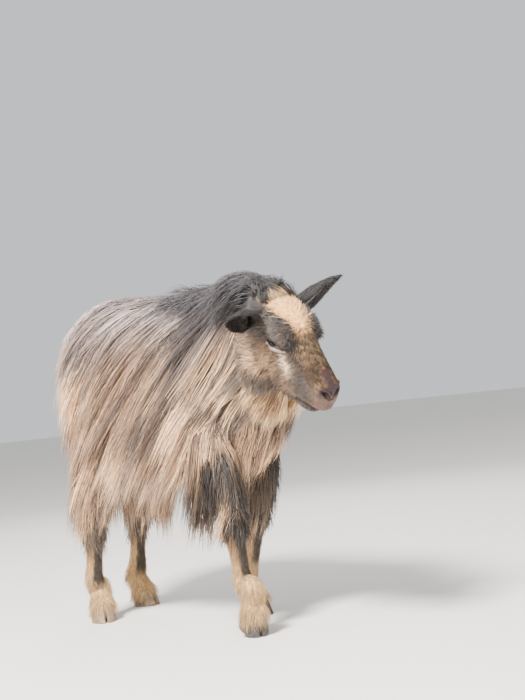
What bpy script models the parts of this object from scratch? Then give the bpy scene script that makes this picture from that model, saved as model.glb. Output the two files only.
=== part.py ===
"""Long-haired billy goat, standing: the solid parts at life size, in metres.

+X is forward, +Y is the goat's left and +Z is up.  The floor is at zero.
"""

import math
import random

import bmesh
import bpy
from mathutils import Euler, Matrix, Vector
from mathutils.bvhtree import BVHTree

NAME = "billy_goat"
GAP = 0.0004
# The flat ends of a grown form move out by this many times the growth.
END_GROWTH = 1.6
DOWN = Vector((0.0, 0.0, -1.0))

# Head: the point between the ears, its roll, nod and turn, and its size.
HEAD_AT = Vector((0.390, -0.1275, 0.655))
HEAD_TURN = Euler((math.radians(12.7), math.radians(41.7), math.radians(0.0)))
HEAD_SIZE = 0.97
EYE_RADIUS = 0.0178
EYE_AT = (0.0854, 0.0401, 0.0195)
OPENING_HALF_LENGTH = 0.0185
UPPER_LID_RISE = 0.0050
LOWER_LID_DROP = 0.0052
LID_POINTS = 12
EAR_LENGTH = 0.136
EAR_BASE = (-0.002, 0.053, 0.036)
EAR_LEFT_WAY = Vector((0.33, 0.85, 0.40))
EAR_RIGHT_WAY = Vector((0.45, -0.88, -0.10))
EAR_LEFT_FACE = Vector((0.60, 0.25, -0.70))
EAR_RIGHT_FACE = Vector((0.90, 0.00, -0.35))

# Feet: where each one stands, its toe-out angle and how far its heel is up.
FEET = {
    "fore_right": (0.210, -0.093, -16.0, 24.0),
    "fore_left": (0.030, 0.090, 6.0, 0.0),
    "hind_right": (-0.335, -0.100, -26.0, 0.0),
    "hind_left": (-0.418, 0.100, 10.0, 0.0),
}
HOOF_LENGTH = 0.066
FLOOR_CLEAR = 0.010

# The rows of locks on the trunk run between these, in this many columns.
TRUNK_LOCKS_FROM = -0.425
TRUNK_LOCKS_TO = 0.225
TRUNK_COLUMNS = 7

# The share of the bare head's faces that is kept after its union.
HEAD_SHARE = 0.38


def clear_scene():
    for item in list(bpy.data.objects):
        bpy.data.objects.remove(item)


def make_collection(name):
    group = bpy.data.collections.new(name)
    bpy.context.scene.collection.children.link(group)
    return group


def from_rings(name, rings, tip=None, soft=False):
    """A closed body through rings that hold the same number of points.

    A soft one keeps its four-sided faces, ready to be rounded.
    """
    mesh = bpy.data.meshes.new(name)
    body = bmesh.new()
    rows = [[body.verts.new(point) for point in ring] for ring in rings]
    count = len(rows[0])
    for low, high in zip(rows, rows[1:]):
        for i in range(count):
            j = (i + 1) % count
            body.faces.new((low[i], low[j], high[j], high[i]))
    body.faces.new(list(reversed(rows[0])))
    if tip is None:
        body.faces.new(rows[-1])
    else:
        point = body.verts.new(tip)
        for i in range(count):
            body.faces.new((rows[-1][i], rows[-1][(i + 1) % count], point))
    bmesh.ops.recalc_face_normals(body, faces=body.faces)
    if not soft:
        bmesh.ops.triangulate(body, faces=body.faces, quad_method="FIXED")
    body.to_mesh(mesh)
    body.free()
    item = bpy.data.objects.new(name, mesh)
    WORK.objects.link(item)
    return item


def oval(centre, side, lift, half_side, half_up, half_down, count, power=2.0):
    """Points round an oval whose upper and lower halves differ."""
    ring = []
    for i in range(count):
        angle = 2.0 * math.pi * i / count
        c = math.cos(angle)
        s = math.sin(angle)
        across = math.copysign(abs(c) ** (2.0 / power), c) * half_side
        half = half_up if s > 0 else half_down
        along = math.copysign(abs(s) ** (2.0 / power), s) * half
        ring.append(centre + side * across + lift * along)
    return ring


def trunk(name, stations, count=12, power=2.2, grow=0.0):
    """A body along X through stations (x, y, top, bottom, half width)."""
    rings = []
    first = stations[0][0]
    last = stations[-1][0]
    for x, y, top, bottom, half in stations:
        middle = (top + bottom) / 2.0
        half_height = (top - bottom) / 2.0 + grow
        reach = (x == last) - (x == first)
        centre = Vector((x + reach * grow * END_GROWTH, y, middle))
        side = Vector((0, 1, 0))
        up = Vector((0, 0, 1))
        rings.append(oval(centre, side, up, half + grow, half_height, half_height, count, power))
    return soften(from_rings(name, rings, soft=True))


def limb(name, stations, count=10, side_hint=Vector((0, 1, 0)), grow=0.0, smooth=True):
    """A tube through stations (x, y, z, half depth, half width)."""
    points = [Vector(s[:3]) for s in stations]
    rings = []
    for i, station in enumerate(stations):
        before = points[max(i - 1, 0)]
        after = points[min(i + 1, len(points) - 1)]
        axis = (after - before).normalized()
        fore = side_hint.cross(axis).normalized()
        side = axis.cross(fore).normalized()
        centre = points[i]
        if i == 0:
            centre = centre - axis * grow * END_GROWTH
        if i == len(stations) - 1:
            centre = centre + axis * grow * END_GROWTH
        depth = station[3] + grow
        rings.append(oval(centre, side, fore, station[4] + grow, depth, depth, count))
    if smooth:
        return soften(from_rings(name, rings, soft=True))
    return from_rings(name, rings)


def soften(item, level=1):
    """One Catmull-Clark pass over a coarse cage."""
    change = item.modifiers.new("round", "SUBSURF")
    change.levels = level
    change.render_levels = level
    split = item.modifiers.new("split", "TRIANGULATE")
    split.quad_method = "FIXED"
    return bake(item)


def bake(item):
    """Replace the object's mesh with what its modifiers make of it."""
    graph = bpy.context.evaluated_depsgraph_get()
    mesh = bpy.data.meshes.new_from_object(item.evaluated_get(graph))
    item.modifiers.clear()
    item.data = mesh
    return item


def drop(items):
    for item in items:
        bpy.data.objects.remove(item)


def combine(first, others, operation):
    """Join the others to the first, or cut them from it."""
    if not others:
        return first
    group = bpy.data.collections.new("set")
    bpy.context.scene.collection.children.link(group)
    for item in others:
        group.objects.link(item)
    change = first.modifiers.new("combine", "BOOLEAN")
    change.operand_type = "COLLECTION"
    change.collection = group
    change.operation = operation
    change.solver = "MANIFOLD"
    bake(first)
    drop(others)
    bpy.data.collections.remove(group)
    return first


def keep_largest(item):
    """Drop every loose crumb and keep the one body with the most volume."""
    body = bmesh.new()
    body.from_mesh(item.data)
    bmesh.ops.triangulate(body, faces=body.faces)
    left = set(body.verts)
    islands = []
    while left:
        seed = left.pop()
        island = [seed]
        queue = [seed]
        while queue:
            vert = queue.pop()
            for edge in vert.link_edges:
                other = edge.other_vert(vert)
                if other in left:
                    left.discard(other)
                    island.append(other)
                    queue.append(other)
        islands.append(island)

    def volume(island):
        faces = {face for vert in island for face in vert.link_faces}
        total = 0.0
        for face in faces:
            a, b, c = (vert.co for vert in face.verts)
            total += a.dot(b.cross(c)) / 6.0
        return abs(total)

    islands.sort(key=volume)
    for island in islands[:-1]:
        bmesh.ops.delete(body, geom=island, context="VERTS")
    body.to_mesh(item.data)
    body.free()
    return item


def thin_out(item, ratio):
    """Collapse the smallest faces until this share of them is left."""
    change = item.modifiers.new("thin", "DECIMATE")
    change.ratio = ratio
    change.use_collapse_triangulate = True
    bake(item)
    return keep_largest(item)


def near_box(item, others, reach=0.002):
    """Those of the others whose boxes touch the item's box; the rest are dropped."""
    low = [min(vert.co[i] for vert in item.data.vertices) - reach for i in range(3)]
    high = [max(vert.co[i] for vert in item.data.vertices) + reach for i in range(3)]
    near = []
    for other in others:
        points = [vert.co for vert in other.data.vertices]
        before = any(max(p[i] for p in points) < low[i] for i in range(3))
        beyond = any(min(p[i] for p in points) > high[i] for i in range(3))
        if before or beyond:
            bpy.data.objects.remove(other)
        else:
            near.append(other)
    return near


def cut_clear(item, makers, locks, gap=GAP):
    """Cut an item clear of a neighbour's forms and locks, each grown by the gap."""
    others = [form for maker in makers for form in maker(gap)]
    others.extend(lock_form(lock, gap) for lock in locks)
    combine(item, near_box(item, others), "DIFFERENCE")
    return keep_largest(item)


def finish(item, name, material):
    """Name a node, give it its look and put it with the goat's parts."""
    keep_largest(item)
    item.name = name
    item.data.name = name
    item.data.materials.clear()
    item.data.materials.append(material)
    for group in list(item.users_collection):
        group.objects.unlink(item)
    GOAT.objects.link(item)
    return item


def make_material(name, colour, roughness):
    material = bpy.data.materials.new(name)
    material.use_nodes = True
    shader = material.node_tree.nodes["Principled BSDF"]
    shader.inputs["Base Color"].default_value = (*colour, 1.0)
    shader.inputs["Roughness"].default_value = roughness
    shader.inputs["Metallic"].default_value = 0.0
    material.diffuse_color = (*colour, 1.0)
    return material


def half_space(name, point, way, size=1.2):
    """A big box whose one face lies in the plane through point, facing away from way."""
    rotation = way.to_track_quat("Z", "Y").to_matrix().to_4x4()
    bpy.ops.mesh.primitive_cube_add(size=size)
    item = bpy.context.object
    item.name = name
    lift = Matrix.Translation((0, 0, size / 2))
    item.data.transform(Matrix.Translation(point) @ rotation @ lift)
    return item


# The dense inner coat of the trunk: x, y, top, bottom, half width.
TRUNK = [
    (-0.448, 0.0, 0.668, 0.560, 0.040),
    (-0.428, 0.0, 0.722, 0.490, 0.076),
    (-0.375, 0.0, 0.768, 0.430, 0.114),
    (-0.285, 0.0, 0.792, 0.400, 0.144),
    (-0.165, 0.0, 0.788, 0.385, 0.156),
    (-0.045, 0.0, 0.777, 0.380, 0.158),
    (0.075, 0.0, 0.768, 0.385, 0.150),
    (0.165, 0.0, 0.770, 0.400, 0.134),
    (0.230, 0.0, 0.750, 0.430, 0.110),
    (0.272, 0.0, 0.700, 0.480, 0.070),
]
# The dense inner coat of the neck: x, y, z, half depth, half width.
NECK = [
    (0.150, 0.010, 0.610, 0.150, 0.104),
    (0.215, -0.020, 0.630, 0.146, 0.100),
    (0.280, -0.058, 0.658, 0.128, 0.088),
    (0.336, -0.098, 0.672, 0.102, 0.074),
    (0.392, -0.126, 0.670, 0.074, 0.058),
]
NECK_BASE = Vector((0.225, -0.020, 0.640))
NECK_WAY = Vector((0.78, -0.50, 0.20)).normalized()
HEAD_BASE = Vector((0.365, -0.118, 0.680))
HEAD_WAY = Vector((0.75, -0.14, -0.50)).normalized()


# The skull with its short hair, along the head: x, top, bottom, half width.
SKULL = [
    (-0.042, 0.030, -0.056, 0.034),
    (-0.026, 0.060, -0.092, 0.054),
    (0.010, 0.080, -0.114, 0.065),
    (0.052, 0.086, -0.122, 0.068),
    (0.088, 0.074, -0.114, 0.060),
    (0.123, 0.053, -0.098, 0.047),
    (0.159, 0.036, -0.084, 0.039),
    (0.191, 0.023, -0.073, 0.036),
    (0.216, 0.007, -0.064, 0.032),
    (0.228, -0.014, -0.050, 0.020),
]
# Rounded forms that lie in the head: x, y, z and their three half sizes.
HEAD_SWELLS = [
    (0.078, 0.036, 0.034, 0.034, 0.024, 0.022),
    (0.050, 0.036, -0.058, 0.050, 0.030, 0.050),
    (0.201, 0.0155, -0.007, 0.025, 0.015, 0.017),
]
LID_THICKNESS = 0.0024
MOUTH_LINE = [
    (0.152, 0.0405, -0.0440), (0.171, 0.0380, -0.0410), (0.190, 0.0355, -0.0390),
    (0.210, 0.0300, -0.0375), (0.222, 0.0190, -0.0365), (0.228, 0.0000, -0.0360),
]
LIP_RADIUS = 0.0042
NOSTRIL = [
    (0.228, 0.0060, -0.0175, 0.0042, 0.0032), (0.225, 0.0150, -0.0115, 0.0045, 0.0030),
    (0.217, 0.0225, -0.0060, 0.0040, 0.0024), (0.208, 0.0275, -0.0035, 0.0030, 0.0016),
]


def head_place():
    return Matrix.Translation(HEAD_AT) @ HEAD_TURN.to_matrix().to_4x4() @ Matrix.Scale(HEAD_SIZE, 4)


def ellipsoid(name, centre, half_sizes, segments=12, rings=8, grow=0.0):
    bpy.ops.mesh.primitive_uv_sphere_add(segments=segments, ring_count=rings, radius=1.0)
    item = bpy.context.object
    item.name = name
    scale = Matrix.Diagonal([half + grow for half in half_sizes] + [1.0])
    item.data.transform(Matrix.Translation(centre) @ scale)
    split = item.modifiers.new("split", "TRIANGULATE")
    split.quad_method = "FIXED"
    return bake(item)


def skull(grow=0.0):
    """The head without lids, lips or locks, as separate closed forms."""
    stations = [(x, 0.0, top, bottom, half) for x, top, bottom, half in SKULL]
    items = [trunk("skull", stations, 10, 2.1, grow)]
    for x, y, z, along, across, up in HEAD_SWELLS:
        for side in (1, -1):
            if side > 0 or y > 0:
                items.append(ellipsoid("swell", (x, y * side, z), (along, across, up), 8, 6, grow))
    for item in items:
        item.data.transform(head_place())
    return items


def eye_frame(side):
    """The eye's centre, with X along the slit, Y up the lids and Z outwards."""
    x, y, z = EYE_AT
    out = Vector((0.22, side * 1.0, 0.16)).normalized()
    along = Vector((1.0, 0.0, 0.10))
    along = (along - out * along.dot(out)).normalized()
    up = out.cross(along) * side
    if up.z < 0.0:
        up = -up
    turn = Matrix((along, up, out)).transposed().to_4x4()
    return head_place() @ Matrix.Translation((x, y * side, z)) @ turn


def settle(item, matrix):
    """Move a form's points, and keep its faces outward when it is mirrored."""
    item.data.transform(matrix)
    if matrix.determinant() < 0.0:
        item.data.flip_normals()
    return item


def eye(name, side, grow=0.0, segments=14, rings=8):
    item = ellipsoid(name, (0, 0, 0), (EYE_RADIUS, EYE_RADIUS, EYE_RADIUS), segments, rings, grow)
    return settle(item, eye_frame(side))


def lid_ball(side):
    size = EYE_RADIUS + LID_THICKNESS
    item = ellipsoid("lids", (0, 0, 0), (size, size, size), 12, 8)
    return settle(item, eye_frame(side))


def lid_opening(side):
    """An almond prism that opens the lids in front of the eye."""
    rings = []
    for depth, spread in ((0.004, 0.75), (0.030, 1.35)):
        ring = []
        for i in range(LID_POINTS):
            angle = 2.0 * math.pi * i / LID_POINTS
            along = math.cos(angle) * OPENING_HALF_LENGTH
            rise = UPPER_LID_RISE if math.sin(angle) > 0 else LOWER_LID_DROP
            up = math.sin(angle) * abs(math.sin(angle)) ** 0.25 * rise
            ring.append(eye_frame(side) @ Vector((along * spread, up * spread, depth)))
        rings.append(ring)
    return from_rings("opening", rings)


def tube_along(name, points, radius, taper=0.45, count=5):
    """A round roll that thins towards both ends of its line."""
    stations = []
    last = len(points) - 1
    for i, point in enumerate(points):
        size = radius * (taper if i in (0, last) else 1.0)
        stations.append((*point, size, size))
    return limb(name, stations, count, side_hint=Vector((0.0, 0.0, 1.0)), smooth=False)


def lips():
    """The rolls of the upper and the lower lip, on both sides of the mouth."""
    items = []
    for lift in (0.0052, -0.0052):
        right = [(x, -y + 0.0025, z + lift) for x, y, z in MOUTH_LINE]
        left = [(x, -y, z) for x, y, z in reversed(right[:-1])]
        item = tube_along("lip", [(x - 0.0025, y, z) for x, y, z in right + left], LIP_RADIUS)
        item.data.transform(head_place())
        items.append(item)
    return items


def mouth_slit():
    """A thin wedge that parts the lips back to the corners of the mouth."""
    rings = []
    for x, _, z in MOUTH_LINE + [(0.245, 0.0, -0.0355)]:
        half = 0.0009
        low = [Vector((x, -0.06, z - half)), Vector((x, 0.06, z - half))]
        high = [Vector((x, 0.06, z + half)), Vector((x, -0.06, z + half))]
        rings.append(low + high)
    item = from_rings("slit", rings)
    item.data.transform(head_place())
    return item


def nostril(side):
    """A comma-shaped hollow that sweeps up and back from the nose's front."""
    stations = [(x, y * side, z, depth, width) for x, y, z, depth, width in NOSTRIL]
    item = limb("nostril", stations, 7, side_hint=Vector((0.0, 0.0, 1.0)), smooth=False)
    item.data.transform(head_place())
    return item


def ear(name, base, way, up):
    """A leaf-shaped ear, rolled at its root and cupped to its tip."""
    along = way.normalized()
    side = along.cross(up).normalized()
    back = side.cross(along).normalized()
    profile = [
        (-0.10, 0.016, 0.70),
        (0.05, 0.017, 0.75),
        (0.20, 0.024, 0.62),
        (0.40, 0.029, 0.50),
        (0.60, 0.026, 0.42),
        (0.80, 0.017, 0.36),
        (0.93, 0.008, 0.30),
    ]
    half_count = 5
    thick = 0.0018
    rings = []
    for t, half, cup in profile:
        centre = base + along * (t * EAR_LENGTH)
        reach = cup * math.pi
        radius = half / math.sin(min(reach, math.pi / 2))
        outer = []
        inner = []
        for i in range(half_count + 1):
            angle = reach * (2.0 * i / half_count - 1.0)
            way_out = side * math.sin(angle) - back * math.cos(angle)
            middle = centre + back * radius * 0.6
            outer.append(middle + way_out * (radius + thick))
            inner.append(middle + way_out * (radius - thick))
        rings.append(outer + list(reversed(inner)))
    return from_rings(name, rings)


def foot_place(foot):
    """The frame of a foot: its toe points along X and its sole is at zero."""
    x, y, turn, heel = FEET[foot]
    toe = HOOF_LENGTH / 2.0
    lean = Matrix.Rotation(math.radians(heel), 4, "Y")
    tip_up = Matrix.Translation((toe, 0, 0)) @ lean @ Matrix.Translation((-toe, 0, 0))
    stand = Matrix.Translation((x, y, 0)) @ Matrix.Rotation(math.radians(turn), 4, "Z")
    sink = Matrix.Translation((0, 0, -0.003 if heel else 0.0))
    return stand @ sink @ tip_up


# One claw seen from above: sole outline and coronet outline (x, y, z).
CLAW_SOLE = [
    (0.033, 0.005, 0.0), (0.025, 0.018, 0.0), (0.009, 0.028, 0.0),
    (-0.012, 0.031, 0.0), (-0.028, 0.026, 0.0), (-0.033, 0.014, 0.0),
    (-0.029, 0.003, 0.0), (0.000, 0.0018, 0.0), (0.022, 0.0018, 0.0),
]
CLAW_TOP = [
    (0.013, 0.005, 0.043), (0.009, 0.016, 0.043), (-0.002, 0.025, 0.041),
    (-0.018, 0.028, 0.037), (-0.031, 0.023, 0.031), (-0.035, 0.013, 0.028),
    (-0.032, 0.004, 0.028), (-0.010, 0.0022, 0.035), (0.006, 0.0022, 0.041),
]


def claw(name, foot, outward, grow=0.0):
    """One of the two claws of a foot; outward is +1 for the one towards +Y."""
    place = foot_place(foot)
    rings = []
    for outline, lift in ((CLAW_SOLE, -grow), (CLAW_TOP, grow)):
        middle = sum((Vector(p) for p in outline), Vector()) / len(outline)
        ring = []
        for point in outline:
            local = Vector(point)
            away = (local - middle)
            away.z = 0.0
            local = local + away.normalized() * grow + Vector((0, 0, lift))
            ring.append(place @ Vector((local.x, local.y * outward, local.z)))
        rings.append(ring)
    item = from_rings(name, rings)
    if FEET[foot][3] and not grow:
        combine(item, [half_space("cut", Vector((0, 0, 0)), DOWN)], "DIFFERENCE")
    return item


def dewclaw(name, foot, outward, grow=0.0):
    """A short blunt horn behind the fetlock."""
    place = foot_place(foot)
    stations = [
        (-0.034, 0.015, 0.088, 0.0075, 0.0080),
        (-0.046, 0.018, 0.077, 0.0080, 0.0085),
        (-0.055, 0.020, 0.064, 0.0045, 0.0050),
    ]
    turned = [(x, y * outward, z, depth, width) for x, y, z, depth, width in stations]
    item = limb(name, turned, 8, grow=grow, smooth=False)
    item.data.transform(place)
    return item


# Each leg from body to coronet: x, y, z, half depth, half width.
UPPER = {
    "fore_right": [
        (0.105, -0.084, 0.500, 0.064, 0.036), (0.125, -0.089, 0.430, 0.056, 0.040),
        (0.150, -0.092, 0.350, 0.045, 0.038), (0.170, -0.094, 0.285, 0.034, 0.032),
        (0.177, -0.094, 0.235, 0.026, 0.025),
    ],
    "fore_left": [
        (0.120, 0.084, 0.500, 0.064, 0.036), (0.105, 0.089, 0.430, 0.056, 0.040),
        (0.080, 0.092, 0.350, 0.045, 0.038), (0.058, 0.093, 0.285, 0.034, 0.032),
        (0.050, 0.093, 0.235, 0.026, 0.025),
    ],
    "hind_right": [
        (-0.265, -0.090, 0.540, 0.100, 0.044), (-0.260, -0.098, 0.455, 0.088, 0.048),
        (-0.290, -0.102, 0.370, 0.062, 0.043), (-0.322, -0.103, 0.300, 0.041, 0.036),
        (-0.335, -0.102, 0.245, 0.030, 0.028),
    ],
    "hind_left": [
        (-0.270, 0.090, 0.540, 0.100, 0.044), (-0.280, 0.098, 0.455, 0.088, 0.048),
        (-0.330, 0.101, 0.370, 0.062, 0.043), (-0.388, 0.101, 0.300, 0.041, 0.036),
        (-0.418, 0.100, 0.245, 0.030, 0.028),
    ],
}
LOWER = {
    "fore_right": [
        (0.176, -0.094, 0.265, 0.028, 0.027), (0.179, -0.094, 0.235, 0.029, 0.028),
        (0.182, -0.094, 0.195, 0.022, 0.021),
        (0.187, -0.094, 0.150, 0.019, 0.019), (0.191, -0.093, 0.118, 0.021, 0.021),
    ],
    "fore_left": [
        (0.052, 0.093, 0.265, 0.028, 0.027), (0.048, 0.093, 0.235, 0.029, 0.028),
        (0.034, 0.092, 0.190, 0.022, 0.021),
        (0.018, 0.091, 0.140, 0.019, 0.019), (0.004, 0.090, 0.106, 0.021, 0.021),
    ],
    "hind_right": [
        (-0.333, -0.102, 0.290, 0.034, 0.028), (-0.337, -0.102, 0.255, 0.034, 0.029),
        (-0.345, -0.101, 0.205, 0.024, 0.022),
        (-0.354, -0.100, 0.150, 0.020, 0.019), (-0.363, -0.099, 0.108, 0.022, 0.022),
    ],
    "hind_left": [
        (-0.412, 0.101, 0.290, 0.034, 0.028), (-0.422, 0.100, 0.255, 0.034, 0.029),
        (-0.431, 0.100, 0.205, 0.024, 0.022),
        (-0.440, 0.100, 0.150, 0.020, 0.019), (-0.449, 0.100, 0.108, 0.022, 0.022),
    ],
}
# Fetlock to coronet in the frame of the foot.
PASTERN = [
    (-0.033, 0.0, 0.084, 0.025, 0.026),
    (-0.023, 0.0, 0.062, 0.024, 0.027),
    (-0.013, 0.0, 0.040, 0.028, 0.031),
    (-0.008, 0.0, 0.022, 0.022, 0.027),
]


def lower_leg(name, foot, grow=0.0):
    place = foot_place(foot)
    stations = list(LOWER[foot])
    for x, y, z, depth, width in PASTERN:
        point = place @ Vector((x, y, z))
        stations.append((point.x, point.y, point.z, depth, width))
    return limb(name, stations, 12, grow=grow, smooth=False)


TAIL = [
    (-0.425, 0.0, 0.722, 0.018, 0.024), (-0.452, 0.0, 0.710, 0.020, 0.030),
    (-0.468, 0.0, 0.675, 0.017, 0.032), (-0.474, 0.0, 0.630, 0.013, 0.027),
    (-0.474, 0.0, 0.585, 0.006, 0.012),
]


# Locks: half width, half thickness, length and number of stretches of each kind.
FLANK_LOCK = (0.0370, 0.0064, 0.265, 4)
SIDE_LOCK = (0.0360, 0.0063, 0.250, 3)
HEM_LOCK = (0.0350, 0.0062, 0.260, 3)
BELLY_LOCK = (0.0320, 0.0058, 0.150, 3)
RIDGE_LOCK = (0.0350, 0.0062, 0.200, 3)
RUMP_LOCK = (0.0290, 0.0060, 0.230, 3)
NECK_LOCK = (0.0250, 0.0055, 0.190, 4)
MANE_LOCK = (0.0210, 0.0052, 0.125, 3)
SHOULDER_LOCK = (0.0300, 0.0060, 0.240, 3)
APRON_LOCK = (0.0240, 0.0050, 0.190, 3)
BEARD_LOCK = (0.0165, 0.0042, 0.135, 3)
CHEEK_LOCK = (0.0135, 0.0036, 0.080, 3)
FORELOCK = (0.0125, 0.0034, 0.056, 3)
LEG_LOCK = (0.0210, 0.0050, 0.115, 3)
KNEE_LOCK = (0.0165, 0.0045, 0.078, 3)
TAIL_LOCK = (0.0120, 0.0036, 0.100, 3)
ROOT_SINK = 0.012
# A root deeper than this in another form grows no lock.
ROOT_BURIED = 0.004
# A point is inside when it lies this squarely behind the nearest surface.
INSIDE_SHARE = 0.9
# A lock grows this many times faster across its edge than across its face.
EDGE_GROWTH = 3.5
WIDTH_PROFILE = {3: (0.60, 1.00, 0.72), 4: (0.55, 1.00, 0.92, 0.62)}
THICK_PROFILE = {3: (0.85, 1.00, 0.75), 4: (0.80, 1.00, 0.90, 0.65)}


def tree_of(items):
    """A search tree over the surfaces of some forms, which are then dropped."""
    verts = []
    faces = []
    for item in items:
        start = len(verts)
        verts.extend(vert.co.copy() for vert in item.data.vertices)
        faces.extend([start + i for i in face.vertices] for face in item.data.polygons)
    drop(items)
    return BVHTree.FromPolygons(verts, faces)


def is_inside(point, near, normal, distance):
    """Whether a point lies behind the spot of a surface that is nearest to it."""
    return (point - near).dot(normal) < -INSIDE_SHARE * distance


def push_out(point, clearance, trees):
    """Keep a point at least the clearance above each surface."""
    out = None
    best = 1.0
    for tree in trees:
        near, normal, _, distance = tree.find_nearest(point)
        if is_inside(point, near, normal, distance):
            point = near + normal * clearance
        elif distance < clearance:
            point = near + (point - near).normalized() * clearance
        if distance < best:
            best = distance
            out = normal
    return point, out, best


def one_try(root, out, lie, kind, rng, trees, lift, fall, spread, droop):
    """The line, the outward directions and the sizes of one lock.

    It leaves its root along the lie, turns down as it goes and stays above
    the body and its neighbours.
    """
    half_width, half_thick, length, steps = kind
    size = rng.uniform(0.88, 1.14)
    length = length * size
    half_width = half_width * rng.uniform(0.88, 1.12)
    step = length / steps
    lie = (lie - out * lie.dot(out)).normalized()
    across = lie.cross(out).normalized()
    bend = rng.uniform(-spread, spread)
    wave = rng.choice((-1.0, 1.0)) * rng.uniform(0.10, 0.28)
    points = [root - out * ROOT_SINK - lie * step * 0.25]
    outs = [out]
    here = root - lie * step * 0.15
    for k in range(1, steps + 1):
        t = k / steps
        turn = min(1.0, fall * (t + 0.1))
        side = across * (bend + wave * math.sin(t * 5.0))
        way = (lie * (1.0 - turn) + droop * turn + side).normalized()
        here = here + way * step
        here, normal, distance = push_out(here, lift * (0.45 + 0.55 * t) + half_thick * 0.8, trees)
        face = outs[-1]
        if distance < 0.05 and normal.dot(face) > 0.3:
            face = (face * 1.5 + normal).normalized()
        face = (face - way * face.dot(way)).normalized()
        if here.z < FLOOR_CLEAR:
            here.z = FLOOR_CLEAR
        points.append(here.copy())
        outs.append(face)
    return (points, outs, half_width, half_thick)


def flows(lock):
    """Whether a lock bends gently, and no edge of it doubles back."""
    points, outs, _, _ = lock
    ways = [(b - a) for a, b in zip(points, points[1:])]
    longest = max(way.length for way in ways[1:])
    if min(way.length for way in ways[1:]) < 0.45 * longest:
        return False
    if any(a.normalized().dot(b.normalized()) < 0.45 for a, b in zip(ways, ways[1:])):
        return False
    if any(a.dot(b) < 0.6 for a, b in zip(outs, outs[1:])):
        return False
    rings = lock_rings(lock, GAP)
    for way, low, high in zip(ways, rings, rings[1:]):
        if any((b - a).dot(way) < 0.25 * way.length_squared for a, b in zip(low, high)):
            return False
    return True


def lay_lock(root, out, lie, kind, rng, trees, lift=0.010, fall=0.8, spread=0.22, droop=DOWN):
    """A lock that flows, or None where four tries find no room for one.

    None grows where its root lies inside a neighbouring form.
    """
    for tree in trees[1:]:
        near, normal, _, distance = tree.find_nearest(root)
        if distance > ROOT_BURIED and is_inside(root, near, normal, distance):
            return None
    for _ in range(4):
        lock = one_try(root, out, lie, kind, rng, trees, lift, fall, spread, droop)
        if flows(lock):
            return lock
    return None


def lock_rings(lock, grow):
    """The four-sided sections of a lock, from its sunk root on."""
    points, outs, half_width, half_thick = lock
    half_width = half_width + grow * EDGE_GROWTH
    half_thick = half_thick + grow
    rings = []
    steps = len(points) - 1
    for k in range(steps):
        before = points[max(k - 1, 0)]
        way = (points[k + 1] - before).normalized()
        out = (outs[k] - way * outs[k].dot(way)).normalized()
        across = way.cross(out).normalized() * half_width * WIDTH_PROFILE[steps][k]
        face = out * half_thick * THICK_PROFILE[steps][k]
        rings.append([points[k] - across, points[k] + face, points[k] + across, points[k] - face * 0.7])
    return rings


def lock_form(lock, grow=0.0):
    """A flat, tapered lock with a lens section, closed at its sunk root."""
    points = lock[0]
    end = points[-1] + (points[-1] - points[-2]).normalized() * grow * EDGE_GROWTH
    return from_rings("lock", lock_rings(lock, grow), end)


def trunk_core(grow=0.0):
    return [trunk("trunk", TRUNK, 12, 2.2, grow)]


def neck_core(grow=0.0):
    return [limb("neck", NECK, 12, grow=grow)]


def trunk_core_cut(grow=0.0):
    """The trunk as it ends at the neck."""
    item = trunk_core(grow)[0]
    return [combine(item, [half_space("cut", NECK_BASE + NECK_WAY * (grow - GAP), NECK_WAY)], "DIFFERENCE")]


def neck_core_cut(grow=0.0):
    """The neck as it ends at the head."""
    item = neck_core(grow)[0]
    return [combine(item, [half_space("cut", HEAD_BASE + HEAD_WAY * grow, HEAD_WAY)], "DIFFERENCE")]


def leg_core(foot, grow=0.0):
    return [limb("upper", UPPER[foot], 12, grow=grow, smooth=False)]


def tail_core(grow=0.0):
    return [limb("tail", TAIL, 8, grow=grow, smooth=False)]


def surface_at(tree, inside, way):
    """Where a ray from inside a form leaves it."""
    hit, normal, _, _ = tree.ray_cast(inside + way * 0.6, -way)
    return hit, normal


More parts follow.
